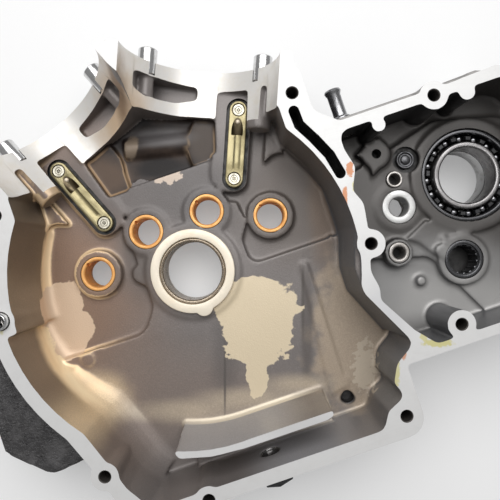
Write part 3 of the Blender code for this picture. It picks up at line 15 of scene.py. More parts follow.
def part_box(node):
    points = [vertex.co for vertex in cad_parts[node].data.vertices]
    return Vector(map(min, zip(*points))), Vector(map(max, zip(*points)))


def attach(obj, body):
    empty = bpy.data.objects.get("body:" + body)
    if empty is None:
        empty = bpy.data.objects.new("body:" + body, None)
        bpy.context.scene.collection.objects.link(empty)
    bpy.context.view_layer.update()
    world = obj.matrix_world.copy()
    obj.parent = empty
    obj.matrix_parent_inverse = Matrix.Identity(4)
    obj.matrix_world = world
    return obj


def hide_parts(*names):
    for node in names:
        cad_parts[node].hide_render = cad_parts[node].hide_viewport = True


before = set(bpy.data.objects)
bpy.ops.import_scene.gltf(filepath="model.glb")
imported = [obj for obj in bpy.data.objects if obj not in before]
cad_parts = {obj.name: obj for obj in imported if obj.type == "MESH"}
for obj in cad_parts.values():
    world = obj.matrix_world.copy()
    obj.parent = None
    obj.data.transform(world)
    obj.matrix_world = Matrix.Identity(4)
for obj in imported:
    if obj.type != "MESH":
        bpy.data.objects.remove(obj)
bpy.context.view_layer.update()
RACE_LOW, RACE_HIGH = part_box("main_bearing_race")
CRANK_AXIS = Vector(((RACE_LOW.x + RACE_HIGH.x) / 2, (RACE_LOW.y + RACE_HIGH.y) / 2, 0))
ORIGIN = (0, 0, 0)

# How far the casting is turned in the picture; its patches of oil, painted light and painted shade lie square to the
# picture
PHOTO_TURN = math.radians(18.8)

# Heights, the metal left for milling, the gap round pressed pieces, and where the tools start and end
SPLIT_Z = 0.086
FLOOR_Z = 0.036
CHEST_CEILING_Z = 0.027
SKIN_ALLOWANCE = 0.002
SEAT_GAP = 0.0003
BELOW = -0.01
POCKET_TOP = 0.084
BOX_SKIN_Z = 0.0395
STAIN_Z = 0.035

# Cylinder decks
V_HALF_ANGLE = math.radians(22.5)
DECK_HEIGHT = 0.138
SPIGOT_RADIUS = 0.049
STUD_OFFSET = 0.039
STUD_Z = SPLIT_Z - STUD_OFFSET
DOWEL_RADIUS = 0.0064

# Crank chamber
CHAMBER_RADIUS = 0.107
CAMS = ((-0.06329, 0.01929), (-0.02222, 0.0363), (0.02222, 0.0363), (0.06329, 0.01929))
BUSH_TOP = 0.0372
BUSH_LOW = 0.0177
BUSH_RADIUS = 0.0119
BUSH_BORE = 0.0093
INSERT_SEAT = 0.038
INSERT_TOP = 0.0415
JET_OFFSET = 0.0243
JET_FOOT = 0.0657
JET_SCREW_PITCH = 0.0477
JET_LOW = 0.0345
JET_TOP = 0.0387
JET_HALF_WIDTH = 0.0061

# Gearbox chamber
BEARING_AT = (0.1962, 0.0016)
BEARING_LOW = 0.0345
BEARING_TOP = 0.0505
NEEDLE_AT = (0.1752, -0.0508)
SHIFT_BUSH_AT = (0.1462, -0.0038)
PIVOT_SLEEVE_AT = (0.149, 0.0146)
PLUG_AT = (0.1606, 0.0248)
LOWER_SLEEVE_AT = (0.1347, -0.0324)
PAWL_BOSS_AT = (0.1425, 0.0345)

# Split face
BOLTS = (
    (0.0967, 0.0826), (-0.0967, 0.07), (0.1126, -0.0189), (0.1772, 0.0537), (0.1487, -0.0826), (0.0994, -0.1244),
    (-0.1143, 0.0087), (0.242, 0.03), (0.242, -0.07), (-0.0849, -0.1003), (-0.03, -0.134),
)
CASE_DOWELS = ((-0.1143, 0.0087), (0.242, -0.07))
CHEST_SCREWS = (
    (-0.0361, -0.0482), (0.0361, -0.0482), (0.0869, -0.0144), (0.087, 0.0452), (0.0343, 0.0641), (-0.0343, 0.0641),
    (-0.087, 0.0452), (-0.0869, -0.0144), (0.0, 0.0641), (0.0, -0.0482),
)
FEET = ((0.238, 0.0453), (0.238, -0.083), (0.133, -0.087))
MOUNT_FACE_X = -0.15
MOUNT_HOLES = (-0.036, -0.066)
DRAIN_AT = (0.012, 0.058)
DRAIN_FACE_Y = -0.14
NIPPLE_AT = (0.1275, 0.054)
NIPPLE_BASE_Y = 0.0613
SLOT_PATH = ((0.0941, 0.0718), (0.0945, 0.063), (0.1005, 0.052), (0.106, 0.04), (0.1086, 0.0275))


# Mesh making


def side_point(side, along, offset, z=0.0):
    """Point up a cylinder's axis and out from it; side is +1 for the rear cylinder and -1 for the front."""
    x = along * math.sin(V_HALF_ANGLE) + offset * math.cos(V_HALF_ANGLE)
    y = along * math.cos(V_HALF_ANGLE) - offset * math.sin(V_HALF_ANGLE)
    return Vector((side * x, y, z))


def jet_ends(side):
    """Centres of a jet's two screws."""
    return side_point(side, JET_FOOT, JET_OFFSET), side_point(side, JET_FOOT + JET_SCREW_PITCH, JET_OFFSET)


def cylinder(bm, centre, radius, low, high, segments=48):
    bmesh.ops.create_cone(
        bm,
        cap_ends=True,
        segments=segments,
        radius1=radius,
        radius2=radius,
        depth=high - low,
        matrix=Matrix.Translation((centre[0], centre[1], (low + high) / 2)),
    )


def bar(bm, start, end, radius, segments=32, end_radius=None):
    """Round bar or taper between two points in space."""
    start, end = Vector(start), Vector(end)
    turn = Vector((0, 0, 1)).rotation_difference(end - start).to_matrix().to_4x4()
    bmesh.ops.create_cone(
        bm,
        cap_ends=True,
        segments=segments,
        radius1=radius,
        radius2=end_radius or radius,
        depth=(end - start).length,
        matrix=Matrix.Translation((start + end) / 2) @ turn,
    )


def block(bm, low, high, matrix=None):
    made = bmesh.ops.create_cube(bm, size=1)["verts"]
    low, high = Vector(low), Vector(high)
    bmesh.ops.scale(bm, vec=high - low, verts=made)
    bmesh.ops.translate(bm, vec=(low + high) / 2, verts=made)
    if matrix is not None:
        bmesh.ops.transform(bm, matrix=matrix, verts=made)


def raise_face(bm, face, height):
    raised = bmesh.ops.extrude_face_region(bm, geom=[face])["geom"]
    verts = [v for v in raised if isinstance(v, bmesh.types.BMVert)]
    bmesh.ops.translate(bm, verts=verts, vec=(0, 0, height))


def plate(bm, corners, low, high):
    """Plate with straight edges through the corners in the plan view."""
    face = bm.faces.new([bm.verts.new((x, y, low)) for x, y in corners])
    raise_face(bm, face, high - low)


def slot(bm, start, end, radius, low, high, segments=28):
    """Plate with round ends: a disc whose far half is drawn out to the second centre."""
    start, end = Vector(start[:2]), Vector(end[:2])
    reach = end - start
    disc = bmesh.ops.create_circle(bm, cap_ends=True, segments=segments, radius=radius)["verts"]
    face = disc[0].link_faces[0]
    far = [v for v in disc if v.co.x > 1e-7]
    bmesh.ops.translate(bm, verts=far, vec=(reach.length, 0, 0))
    turn = Matrix.Rotation(math.atan2(reach.y, reach.x), 4, "Z")
    bmesh.ops.transform(bm, matrix=Matrix.Translation((start.x, start.y, low)) @ turn, verts=disc)
    raise_face(bm, face, high - low)


def turned(bm, profile, centre=(0, 0), segments=64):
    """Closed (radius, z) profile spun about an upright axis."""
    verts = [bm.verts.new((radius, 0, z)) for radius, z in profile]
    edges = [bm.edges.new((verts[i - 1], verts[i])) for i in range(len(verts))]
    before = set(bm.verts)
    bmesh.ops.spin(
        bm, geom=verts + edges, cent=(0, 0, 0), axis=(0, 0, 1), angle=2 * math.pi, steps=segments, use_merge=True
    )
    made = [v for v in bm.verts if v in verts or v not in before]
    bmesh.ops.dissolve_degenerate(bm, edges=bm.edges, dist=1e-7)
    bmesh.ops.translate(bm, verts=[v for v in made if v.is_valid], vec=(*centre, 0))


def round_edges(bm, width, segments=2, angle=40):
    """Rounds every edge that is sharper than the angle."""
    bmesh.ops.remove_doubles(bm, verts=bm.verts, dist=1e-7)
    limit = math.radians(angle)
    sharp = [e for e in bm.edges if len(e.link_faces) == 2 and e.calc_face_angle(0) > limit]
    bmesh.ops.bevel(
        bm, geom=sharp, offset=width, segments=segments, profile=0.5, affect="EDGES", material=-1, clamp_overlap=True
    )


def new_object(name, data):
    made = bpy.data.objects.new(name, data)
    bpy.context.scene.collection.objects.link(made)
    return made


def scratch_object(name, bm, finishes=()):
    """Loose object for modifiers to work with."""
    bmesh.ops.recalc_face_normals(bm, faces=bm.faces)
    mesh = bpy.data.meshes.new(name)
    bm.to_mesh(mesh)
    bm.free()
    for finish in finishes:
        mesh.materials.append(finish)
    return new_object(name, mesh)


def tool(name, finishes, *shapes):
    """Cutting tool made of several shapes; each is given as its maker and the maker's sizes."""
    bm = bmesh.new()
    for make, *sizes in shapes:
        make(bm, *sizes)
    return scratch_object(name, bm, finishes)


def apply_modifiers(made):
    graph = bpy.context.evaluated_depsgraph_get()
    result = bpy.data.meshes.new_from_object(made.evaluated_get(graph))
    made.modifiers.clear()
    made.data = result


def cut(made, tools, operation="DIFFERENCE"):
    """Takes the tools away from a piece; the new faces keep the tools' own finish."""
    for cutter in tools:
        modifier = made.modifiers.new("cut", "BOOLEAN")
        modifier.operation = operation
        modifier.solver = "MANIFOLD"
        modifier.material_mode = "TRANSFER"
        modifier.object = cutter
    apply_modifiers(made)
    for cutter in tools:
        bpy.data.objects.remove(cutter)


def place_piece(made, body, replaces=(), angle=32):
    """Moves a finished piece to the crank axis and sets it on its body."""
    made.data.transform(Matrix.Translation(CRANK_AXIS))
    made.data.shade_smooth()
    made.data.set_sharp_from_angle(angle=math.radians(angle))
    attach(made, body)
    if replaces:
        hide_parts(*replaces)


def piece(name, bm, finish, body, replaces=(), angle=32):
    bmesh.ops.remove_doubles(bm, verts=bm.verts, dist=1e-7)
    place_piece(scratch_object(name, bm, [finish]), body, replaces, angle)


# Pattern groups


def new_group(name, outputs, **inputs):
    """Node group whose inputs are named with their defaults, each a vector or a number."""
    tree = bpy.data.node_groups.new(name, "ShaderNodeTree")
    for label, default in inputs.items():
        kind = "NodeSocketVector" if isinstance(default, tuple) else "NodeSocketFloat"
        socket = tree.interface.new_socket(name=label.replace("_", " "), in_out="INPUT", socket_type=kind)
        socket.default_value = default
    for label in outputs:
        tree.interface.new_socket(name=label, in_out="OUTPUT", socket_type="NodeSocketFloat")
    entry = tree.nodes.new("NodeGroupInput").outputs[: len(inputs)]
    return tree, entry, tree.nodes.new("NodeGroupOutput").inputs


def feed(tree, value, socket):
    """Links a socket to an input, or sets the input to a plain number or colour."""
    if isinstance(value, bpy.types.NodeSocket):
        tree.links.new(value, socket)
    else:
        socket.default_value = value


def node(tree, kind, settings=None, **inputs):
    """Adds a node; inputs are values or sockets, keyed by socket name or number (i0, i1...)."""
    made = tree.nodes.new(kind)
    for key, value in (settings or {}).items():
        setattr(made, key, value)
    for key, value in inputs.items():
        feed(tree, value, made.inputs[int(key[1:]) if key[1:].isdigit() else key.replace("_", " ")])
    return made


def math_node(tree, operation, first, second=0.0, clamp=False):
    settings = {"operation": operation, "use_clamp": clamp}
    return node(tree, "ShaderNodeMath", settings, i0=first, i1=second).outputs[0]


def vector_node(tree, operation, first, second=ORIGIN):
    return node(tree, "ShaderNodeVectorMath", {"operation": operation}, i0=first, i1=second).outputs


def span_node(tree, value, low, high, smooth=False):
    """Stretches a value so that low becomes nothing and high becomes all."""
    settings = {"interpolation_type": "SMOOTHSTEP" if smooth else "LINEAR"}
    return node(tree, "ShaderNodeMapRange", settings, Value=value, From_Min=low, From_Max=high).outputs[0]


def blotch_group():
    """Mask of one patch, used for marks of oil and sealant and for painted light and shade: an ellipse with a ragged
    or soft edge.
    """
    sizes = {"Centre": ORIGIN, "Half_Size": (0.02, 0.02, 0.02), "Ragged": 0.5, "Ragged_Scale": 60.0, "Soft": 0.1}
    tree, entry, leave = new_group("blotch", ["Mask"], Vector=ORIGIN, **sizes)
    place, centre, half_size, ragged, scale, soft = entry
    away = vector_node(tree, "SUBTRACT", place, centre)[0]
    settings = {"rotation_type": "Z_AXIS"}
    turned_away = node(tree, "ShaderNodeVectorRotate", settings, Vector=away, Angle=PHOTO_TURN).outputs[0]
    length = vector_node(tree, "LENGTH", vector_node(tree, "DIVIDE", turned_away, half_size)[0])["Value"]
    rough = node(tree, "ShaderNodeTexNoise", Vector=place, Scale=scale, Detail=3.0).outputs[0]
    swing = math_node(tree, "MULTIPLY", math_node(tree, "SUBTRACT", rough, 0.5), ragged)
    edge = math_node(tree, "ADD", length, swing)
    inner, outer = math_node(tree, "SUBTRACT", 1.0, soft), math_node(tree, "ADD", soft, 1.0)
    settings = {"interpolation_type": "SMOOTHSTEP"}
    ramp = node(
        tree, "ShaderNodeMapRange", settings, Value=edge, From_Min=inner, From_Max=outer, To_Min=1.0, To_Max=0.0
    )
    tree.links.new(ramp.outputs[0], leave[0])
    return tree


def cast_grain_group():
    """Fine sand grain of a cast skin with a slow unevenness under it."""
    tree, entry, leave = new_group("cast grain", ["Height", "Mottle"], Vector=ORIGIN, Scale=900.0, Pits=0.3)
    place, scale, pits = entry
    grain = node(tree, "ShaderNodeTexNoise", Vector=place, Scale=scale, Detail=4.0, Roughness=0.6)
    slow = node(tree, "ShaderNodeTexNoise", Vector=place, Scale=34.0, Detail=5.0, Roughness=0.55)
    pit = node(tree, "ShaderNodeTexVoronoi", Vector=place, Scale=300.0)
    depth = math_node(tree, "MULTIPLY", span_node(tree, pit.outputs["Distance"], 0.0, 0.22), pits)
    tree.links.new(math_node(tree, "ADD", grain.outputs[0], depth), leave[0])
    tree.links.new(slow.outputs[0], leave[1])
    return tree


def milling_group():
    """Faint arcs that a face cutter leaves, and a slow change of brightness along them."""
    tree, entry, leave = new_group("milling marks", ["Height", "Tint"], Vector=ORIGIN, Centre=ORIGIN, Pitch=900.0)
    place, centre, pitch = entry
    reach = vector_node(tree, "LENGTH", vector_node(tree, "SUBTRACT", place, centre)[0])["Value"]
    slow = node(tree, "ShaderNodeTexNoise", Vector=place, Scale=24.0, Detail=3.0)
    turn = math_node(tree, "MULTIPLY", reach, pitch)
    ring = node(tree, "ShaderNodeTexNoise", {"noise_dimensions": "1D"}, W=turn, Scale=1.0, Detail=2.0)
    tree.links.new(ring.outputs[0], leave[0])
    tree.links.new(math_node(tree, "MULTIPLY", ring.outputs[0], slow.outputs[0]), leave[1])
    return tree


def scratch_group():
    """Light scuffs and dulled spots of handled metal."""
    tree, entry, leave = new_group("scuffs", ["Mask", "Height"], Vector=ORIGIN, Scale=160.0)
    place, scale = entry
    broad = node(tree, "ShaderNodeTexNoise", Vector=place, Scale=scale, Detail=6.0, Roughness=0.7)
    fine = node(tree, "ShaderNodeTexNoise", Vector=place, Scale=2200.0, Detail=2.0)
    tree.links.new(span_node(tree, broad.outputs[0], 0.42, 0.68, True), leave[0])
    tree.links.new(fine.outputs[0], leave[1])
    return tree


BLOTCH = blotch_group()
CAST_GRAIN = cast_grain_group()
MILLING = milling_group()
SCUFFS = scratch_group()


class Finish:
    """A material while it is made: its shader, its place coordinates and the colour it has so far."""

    def __init__(self, name, colour, roughness, metallic):
        self.material = bpy.data.materials.new(name)
        self.material.use_nodes = True
        self.tree = self.material.node_tree
        self.shader = self.tree.nodes["Principled BSDF"]
        self.coordinates = self.tree.nodes.new("ShaderNodeTexCoord").outputs
        self.place = self.coordinates["Object"]
        self.colour = (*colour, 1)
        self.shader.inputs["Roughness"].default_value = roughness
        self.shader.inputs["Metallic"].default_value = metallic
        self.shader.inputs["Base Color"].default_value = self.colour

    def effect(self, tree, **inputs):
        return node(self.tree, "ShaderNodeGroup", {"node_tree": tree}, Vector=self.place, **inputs).outputs

    def layer(self, colour, mask, amount=1.0):
        """Lays a colour over what is there, where the mask says."""
        if amount != 1.0:
            mask = self.both(mask, amount)
        mix = node(self.tree, "ShaderNodeMix", {"data_type": "RGBA"}, Factor=mask, i6=self.colour, i7=(*colour, 1))
        self.colour = mix.outputs[2]
        self.tree.links.new(self.colour, self.shader.inputs["Base Color"])

    def both(self, first, second):
        return math_node(self.tree, "MULTIPLY", first, second)

    def blotch(self, centre, half_size, ragged, scale, soft, deep=0.2):
        place, half_size = Vector((*centre, STAIN_Z)) + CRANK_AXIS, (*half_size, deep)
        return self.effect(BLOTCH, Centre=place, Half_Size=half_size, Ragged=ragged, Ragged_Scale=scale, Soft=soft)[0]

    def stain_and_light_patch(self, within, colour, centre, half_size, ragged, scale, soft, amount=1.0, deep=0.2):
        mask = self.blotch(centre, half_size, ragged, scale, soft, deep)
        self.layer(colour, mask if within is None else self.both(within, mask), amount)

    def stain_and_light_patches(self, *rows, within=None):
        """Lays patches of oil, sealant, painted light and painted shade one over the other, each kept to a part of
        the surface where a mask is given.
        """
        for row in rows:
            self.stain_and_light_patch(within, *row)

    def tilt(self, start, full):
        """Mask by how far a face looks up: nothing at the first share of upwardness, all at the second."""
        upward = node(self.tree, "ShaderNodeSeparateXYZ", i0=self.coordinates["Normal"]).outputs["Z"]
        return span_node(self.tree, upward, start, full, True)

    def ring(self, radius, half_width):
        """Mask of a soft band round the crank axis."""
        away = vector_node(self.tree, "SUBTRACT", self.place, CRANK_AXIS)[0]
        flat = vector_node(self.tree, "MULTIPLY", away, (1, 1, 0))[0]
        reach = vector_node(self.tree, "LENGTH", flat)["Value"]
        off = math_node(self.tree, "ABSOLUTE", math_node(self.tree, "SUBTRACT", reach, radius))
        return span_node(self.tree, off, half_width * 1.6, half_width * 0.4, True)

    def vary(self, mask, low, high):
        """Lets a mask move the roughness between two ends."""
        span = node(self.tree, "ShaderNodeMapRange", Value=mask, To_Min=low, To_Max=high)
        self.tree.links.new(span.outputs[0], self.shader.inputs["Roughness"])

    def bump(self, height, distance, strength):
        made = node(self.tree, "ShaderNodeBump", Height=height, Distance=distance, Strength=strength)
        self.tree.links.new(made.outputs[0], self.shader.inputs["Normal"])


# Finishes


def cast_finish(name, colour, mottle, share, scale, pits, roughness, metallic):
    """Start of a cast skin: its colour, the slow mottle on it and the grain that makes both."""
    finish = Finish(name, colour, roughness, metallic)
    grain = finish.effect(CAST_GRAIN, Scale=scale, Pits=pits)
    finish.layer(mottle, grain["Mottle"], share)
    return finish, grain


def chamber_skin():
    """Cast skin of the crank chamber under a film of old oil: grey by the gearbox, brown towards the front. Its walls
    are coloured as painted light and shade by which way they face, and its cast radii carry painted golden
    highlights.
    """
    name, colour, mottle = "oiled chamber casting with painted light and shade", (0.2, 0.18, 0.172), (0.27, 0.245, 0.235)
    finish, grain = cast_finish(name, colour, mottle, 0.7, 1100, 0.25, 0.4, 0.2)
    finish.stain_and_light_patches(
        ((0.31, 0.19, 0.125), (-0.0957, 0.0118), (0.0544, 0.1046), 0.5, 16, 0.75, 0.9),
        ((0.26, 0.205, 0.175), (-0.0574, -0.0749), (0.0767, 0.0349), 0.5, 16, 0.6, 0.7),
        # Painted shade: this dark patch above the two middle cam bushes, and the next one beside the wall on the
        # gearbox side.
        ((0.112, 0.102, 0.1), (0.0001, 0.0617), (0.0837, 0.0307), 0.5, 26, 0.6, 0.85),
        ((0.14, 0.116, 0.1), (0.0876, 0.0267), (0.0432, 0.0432), 0.5, 26, 0.5, 0.8),
        ((0.5, 0.4, 0.3), (0.0905, -0.0774), (0.0279, 0.0558), 1.2, 90, 0.3, 0.9, 0.018),
        ((0.215, 0.15, 0.105), (0.103, 0.0178), (0.0098, 0.0418), 0.7, 40, 0.6, 0.7),
        ((0.12, 0.105, 0.098), (0.0631, -0.0607), (0.004, 0.0432), 0.3, 40, 0.5, 0.7),
        ((0.115, 0.105, 0.102), (0.0022, -0.062), (0.0084, 0.0335), 0.5, 40, 0.7, 0.5),
        # Painted light: this bright golden patch low on the front side, and the next three pale patches along the
        # foot of the bottom wall.
        ((1.0, 0.78, 0.5), (-0.0957, -0.0618), (0.021, 0.014), 0.6, 40, 0.8, 0.95),
        ((0.7, 0.58, 0.43), (-0.037, -0.0907), (0.0293, 0.007), 0.5, 40, 0.8, 0.6),
        ((0.7, 0.58, 0.43), (0.0055, -0.0956), (0.0293, 0.0063), 0.5, 40, 0.8, 0.6),
        ((0.7, 0.58, 0.43), (0.0436, -0.0982), (0.0209, 0.0056), 0.5, 40, 0.8, 0.6),
        ((0.12, 0.11, 0.105), (-0.0339, 0.0202), (0.0139, 0.0223), 0.5, 40, 0.7, 0.7),
        ((0.11, 0.098, 0.09), (-0.003, -0.0772), (0.0009, 0.0251), 0.3, 40, 0.5, 0.8),
        ((0.11, 0.098, 0.09), (0.066, -0.0433), (0.0011, 0.0265), 0.3, 40, 0.5, 0.8),
    )
    # Wall colours by which way each wall faces: brown on the front wall, with a band of painted light by the front
    # bolt boss; painted light on the bottom wall, which faces the lamp; blue-grey painted shade on the walls on the
    # gearbox side, and near-black painted shade high on the front wall.
    finish.stain_and_light_patches(
        ((0.24, 0.18, 0.125), (-0.1273, 0.0226), (0.0627, 0.1255), 0.4, 20, 0.4),
        ((0.15, 0.157, 0.172), (0.1392, -0.0166), (0.0523, 0.1325), 0.4, 20, 0.3),
        ((0.44, 0.43, 0.44), (0.0069, -0.113), (0.0662, 0.0153), 0.4, 20, 0.4),
        ((0.03, 0.026, 0.022), (-0.1023, 0.0789), (0.0181, 0.0195), 0.4, 20, 0.5),
        ((0.43, 0.335, 0.235), (-0.1219, 0.017), (0.0181, 0.0251), 0.6, 30, 0.5),
        within=finish.tilt(0.9, 0.3),
    )
    finish.layer((0.08, 0.068, 0.06), span_node(finish.tree, grain["Height"], 0.55, 0.85), 0.2)
    # Painted golden highlights on the cast radii at the foot of the front wall and of the bottom wall.
    finish.stain_and_light_patches(
        ((0.9, 0.66, 0.4), (-0.1041, -0.0001), (0.0404, 0.0906), 0.9, 50, 0.4),
        ((0.8, 0.7, 0.54), (0.0002, -0.1004), (0.0662, 0.0125), 0.6, 50, 0.4, 0.9),
        within=finish.both(finish.tilt(0.1, 0.4), finish.tilt(0.995, 0.95)),
    )
    # Painted golden highlight on the sloping faces along the front wall's cast radius.
    rim = finish.both(finish.ring(0.1064, 0.0026), finish.blotch((-0.1013, 0.0299), (0.0139, 0.0432), 0.5, 40, 0.3))
    finish.layer((0.95, 0.7, 0.43), finish.both(finish.tilt(0.1, 0.45), rim), 0.8)
    # Painted golden highlight along the cast radius of the lower front wall.
    finish.stain_and_light_patches(
        ((1.0, 0.8, 0.52), (-0.1031, -0.0402), (0.0349, 0.0432), 0.5, 40, 0.3, 0.95, 0.016),
        within=finish.ring(0.1126, 0.0034),
    )
    puddle, front_puddle = (0.76, 0.64, 0.455), (0.74, 0.55, 0.39)
    finish.stain_and_light_patches(
        (puddle, (0.0357, -0.0565), (0.0181, 0.0139), 0.7, 130, 0.03),
        (puddle, (0.0337, -0.0389), (0.0293, 0.0216), 0.8, 110, 0.03),
        (puddle, (0.026, -0.0591), (0.023, 0.0209), 0.9, 130, 0.03),
        (puddle, (0.0199, -0.0791), (0.0077, 0.0195), 0.8, 130, 0.03),
        (front_puddle, (-0.0948, 0.0056), (0.0153, 0.0195), 0.7, 90, 0.03, 1.0, 0.014),
        (front_puddle, (-0.0949, -0.012), (0.0153, 0.0195), 0.7, 90, 0.03, 1.0, 0.014),
        ((0.55, 0.45, 0.37), (0.0028, 0.0696), (0.0105, 0.0056), 1.4, 160, 0.05),
        ((0.62, 0.54, 0.43), (0.091, -0.1018), (0.0077, 0.0167), 2.4, 260, 0.12, 0.6, 0.018),
        # Painted shade: this near-black spot round the small hole in the lower corner on the gearbox side.
        ((0.012, 0.01, 0.01), (0.0735, -0.1187), (0.0056, 0.0042), 0.3, 60, 0.2),
    )
    finish.vary(grain["Mottle"], 0.28, 0.5)
    finish.bump(grain["Height"], 0.00016, 0.8)
    return finish.material


def shaded_valley_skin():
    """The hollow between the cylinders, varnished nearly black by burnt oil and darkened further as painted shade,
    with painted golden highlights on its rims.
    """
    finish = Finish("varnished valley casting with painted shade and highlights", (0.016, 0.011, 0.01), 0.28, 0.1)
    grain = finish.effect(CAST_GRAIN, Scale=900, Pits=0.2)
    finish.layer((0.06, 0.042, 0.033), span_node(finish.tree, grain["Mottle"], 0.4, 0.64))
    finish.stain_and_light_patches(
        ((0.105, 0.068, 0.046), (-0.0388, 0.0829), (0.0169, 0.0141), 0.9, 60, 0.4, 0.9),
        ((0.072, 0.056, 0.046), (0.0355, 0.0844), (0.0092, 0.0141), 0.7, 50, 0.4, 0.9),
        # Painted highlight: this grey band along the top of the breather passage's back.
        ((0.13, 0.122, 0.122), (0.009, 0.0964), (0.0197, 0.0063), 0.6, 60, 0.5, 0.9),
        ((0.25, 0.195, 0.145), (-0.0139, 0.0967), (0.0049, 0.0085), 1.2, 120, 0.2, 0.9),
        # Painted shade: this near-black patch below the breather passage's back, and the next one under the top lip
        # of the hollow.
        ((0.006, 0.004, 0.004), (0.0009, 0.0768), (0.019, 0.0078), 0.6, 60, 0.4, 0.95),
        ((0.006, 0.004, 0.005), (-0.0053, 0.1199), (0.0127, 0.0099), 0.6, 60, 0.4, 0.9),
    )
    # Painted golden highlights on the sloping edges of the two facets.
    finish.stain_and_light_patches(
        ((0.38, 0.255, 0.15), (-0.0399, 0.0818), (0.0211, 0.0183), 0.6, 60, 0.3, 0.9),
        ((0.3, 0.215, 0.14), (0.0346, 0.0817), (0.0113, 0.0141), 0.6, 60, 0.3, 0.9),
        within=finish.both(finish.tilt(0.25, 0.6), finish.tilt(0.995, 0.93)),
    )
    finish.shader.inputs["Specular IOR Level"].default_value = 0.3
    finish.vary(grain["Mottle"], 0.32, 0.55)
    finish.bump(grain["Height"], 0.0001, 0.6)
    return finish.material


def gearbox_skin():
    # Dark casting of the gearbox chamber, with painted light and shade laid over it below.
    name, colour, mottle = "gearbox casting with painted light and shade", (0.072, 0.066, 0.062), (0.098, 0.092, 0.087)
    finish, grain = cast_finish(name, colour, mottle, 0.6, 1100, 0.2, 0.38, 0.3)
    # Painted light over the lower floor: a broad patch, a brighter one on the ramp and a smaller one towards the
    # crank chamber.
    finish.stain_and_light_patches(
        ((0.25, 0.245, 0.24), (0.1564, -0.063), (0.057, 0.0326), 0.3, 16, 0.35, 0.95),
        ((0.38, 0.372, 0.362), (0.1566, -0.0731), (0.0529, 0.0163), 0.5, 30, 0.5, 0.9),
        ((0.3, 0.295, 0.29), (0.123, -0.0516), (0.0136, 0.0136), 0.6, 40, 0.6, 0.8),
    )
    # Painted shade on the upper walls, which face away from the lamp, and painted light on the lower walls, which
    # face it.
    finish.stain_and_light_patches(
        ((0.024, 0.023, 0.024), (0.1558, 0.0171), (0.0769, 0.0589), 0.2, 16, 0.2),
        ((0.15, 0.15, 0.155), (0.1391, -0.072), (0.0609, 0.0256), 0.2, 16, 0.3),
        within=finish.tilt(0.8, 0.25),
    )
    finish.vary(grain["Mottle"], 0.32, 0.5)
    finish.bump(grain["Height"], 0.0001, 0.5)
    return finish.material


def chest_skin():
    finish, grain = cast_finish("bare casting", (0.34, 0.33, 0.32), (0.24, 0.23, 0.22), 0.7, 1000, 0.3, 0.5, 0.6)
    finish.vary(grain["Mottle"], 0.42, 0.6)
    finish.bump(grain["Height"], 0.00014, 0.7)
    return finish.material


def outer_coat():
    """Black wrinkle coat on the outer side."""
    finish = Finish("black wrinkle coat", (0.042, 0.04, 0.041), 0.3, 0.0)
    grain = finish.effect(CAST_GRAIN, Scale=620, Pits=0.9)
    scuffs = finish.effect(SCUFFS, Scale=70)
    finish.layer((0.12, 0.116, 0.117), scuffs["Mask"], 0.7)
    finish.vary(scuffs["Mask"], 0.22, 0.45)
    finish.bump(grain["Height"], 0.0009, 1.0)
    return finish.material


def milled_face():
    """Milled face, with smears of old sealant beside the oil slot and along the gearbox flange."""
    finish = Finish("milled face", (0.74, 0.735, 0.725), 0.45, 0.2)
    marks = finish.effect(MILLING, Centre=Vector((0.02, -0.3, 0.0)), Pitch=1500)
    scuffs = finish.effect(SCUFFS, Scale=120)
    finish.layer((0.66, 0.66, 0.67), marks["Tint"], 0.5)
    finish.layer((0.62, 0.61, 0.6), scuffs["Mask"], 0.25)
    orange, yellow = (0.6, 0.23, 0.09), (0.64, 0.59, 0.25)
    finish.stain_and_light_patches(
        (orange, (0.1149, 0.0278), (0.0021, 0.0048), 1.6, 420, 0.15, 0.9),
        (orange, (0.1064, 0.0122), (0.0016, 0.0078), 1.6, 420, 0.15, 0.9),
        (yellow, (0.1144, 0.0171), (0.0015, 0.0042), 1.4, 420, 0.2, 0.7),
        (yellow, (0.1313, -0.0886), (0.0096, 0.0024), 1.2, 420, 0.2, 0.9),
        (yellow, (0.1245, -0.0825), (0.0024, 0.003), 1.2, 420, 0.2, 0.8),
        (yellow, (0.1025, -0.0966), (0.0018, 0.0103), 1.4, 420, 0.2, 0.8),
        (orange, (0.1096, -0.0889), (0.0015, 0.003), 1.4, 420, 0.2, 0.8),
        (yellow, (-0.1139, 0.0069), (0.0018, 0.006), 1.2, 420, 0.3, 0.6),
        ((0.56, 0.56, 0.58), (0.1061, -0.0635), (0.0133, 0.0241), 0.9, 120, 0.6, 0.5),
        ((0.56, 0.55, 0.55), (0.0368, -0.108), (0.0241, 0.0072), 0.9, 120, 0.6, 0.4),
    )
    finish.vary(marks["Height"], 0.38, 0.55)
    finish.bump(marks["Height"], 0.00003, 0.4)
    return finish.material


def handled(name, colour, worn, share, scale, ends, roughness, metallic):
    """A finish that is duller where it has been handled; the scuffs also move its roughness between two ends."""
    finish = Finish(name, colour, roughness, metallic)
    scuffs = finish.effect(SCUFFS, Scale=scale)
    finish.layer(worn, scuffs["Mask"], share)
    finish.vary(scuffs["Mask"], *ends)
    return finish, scuffs


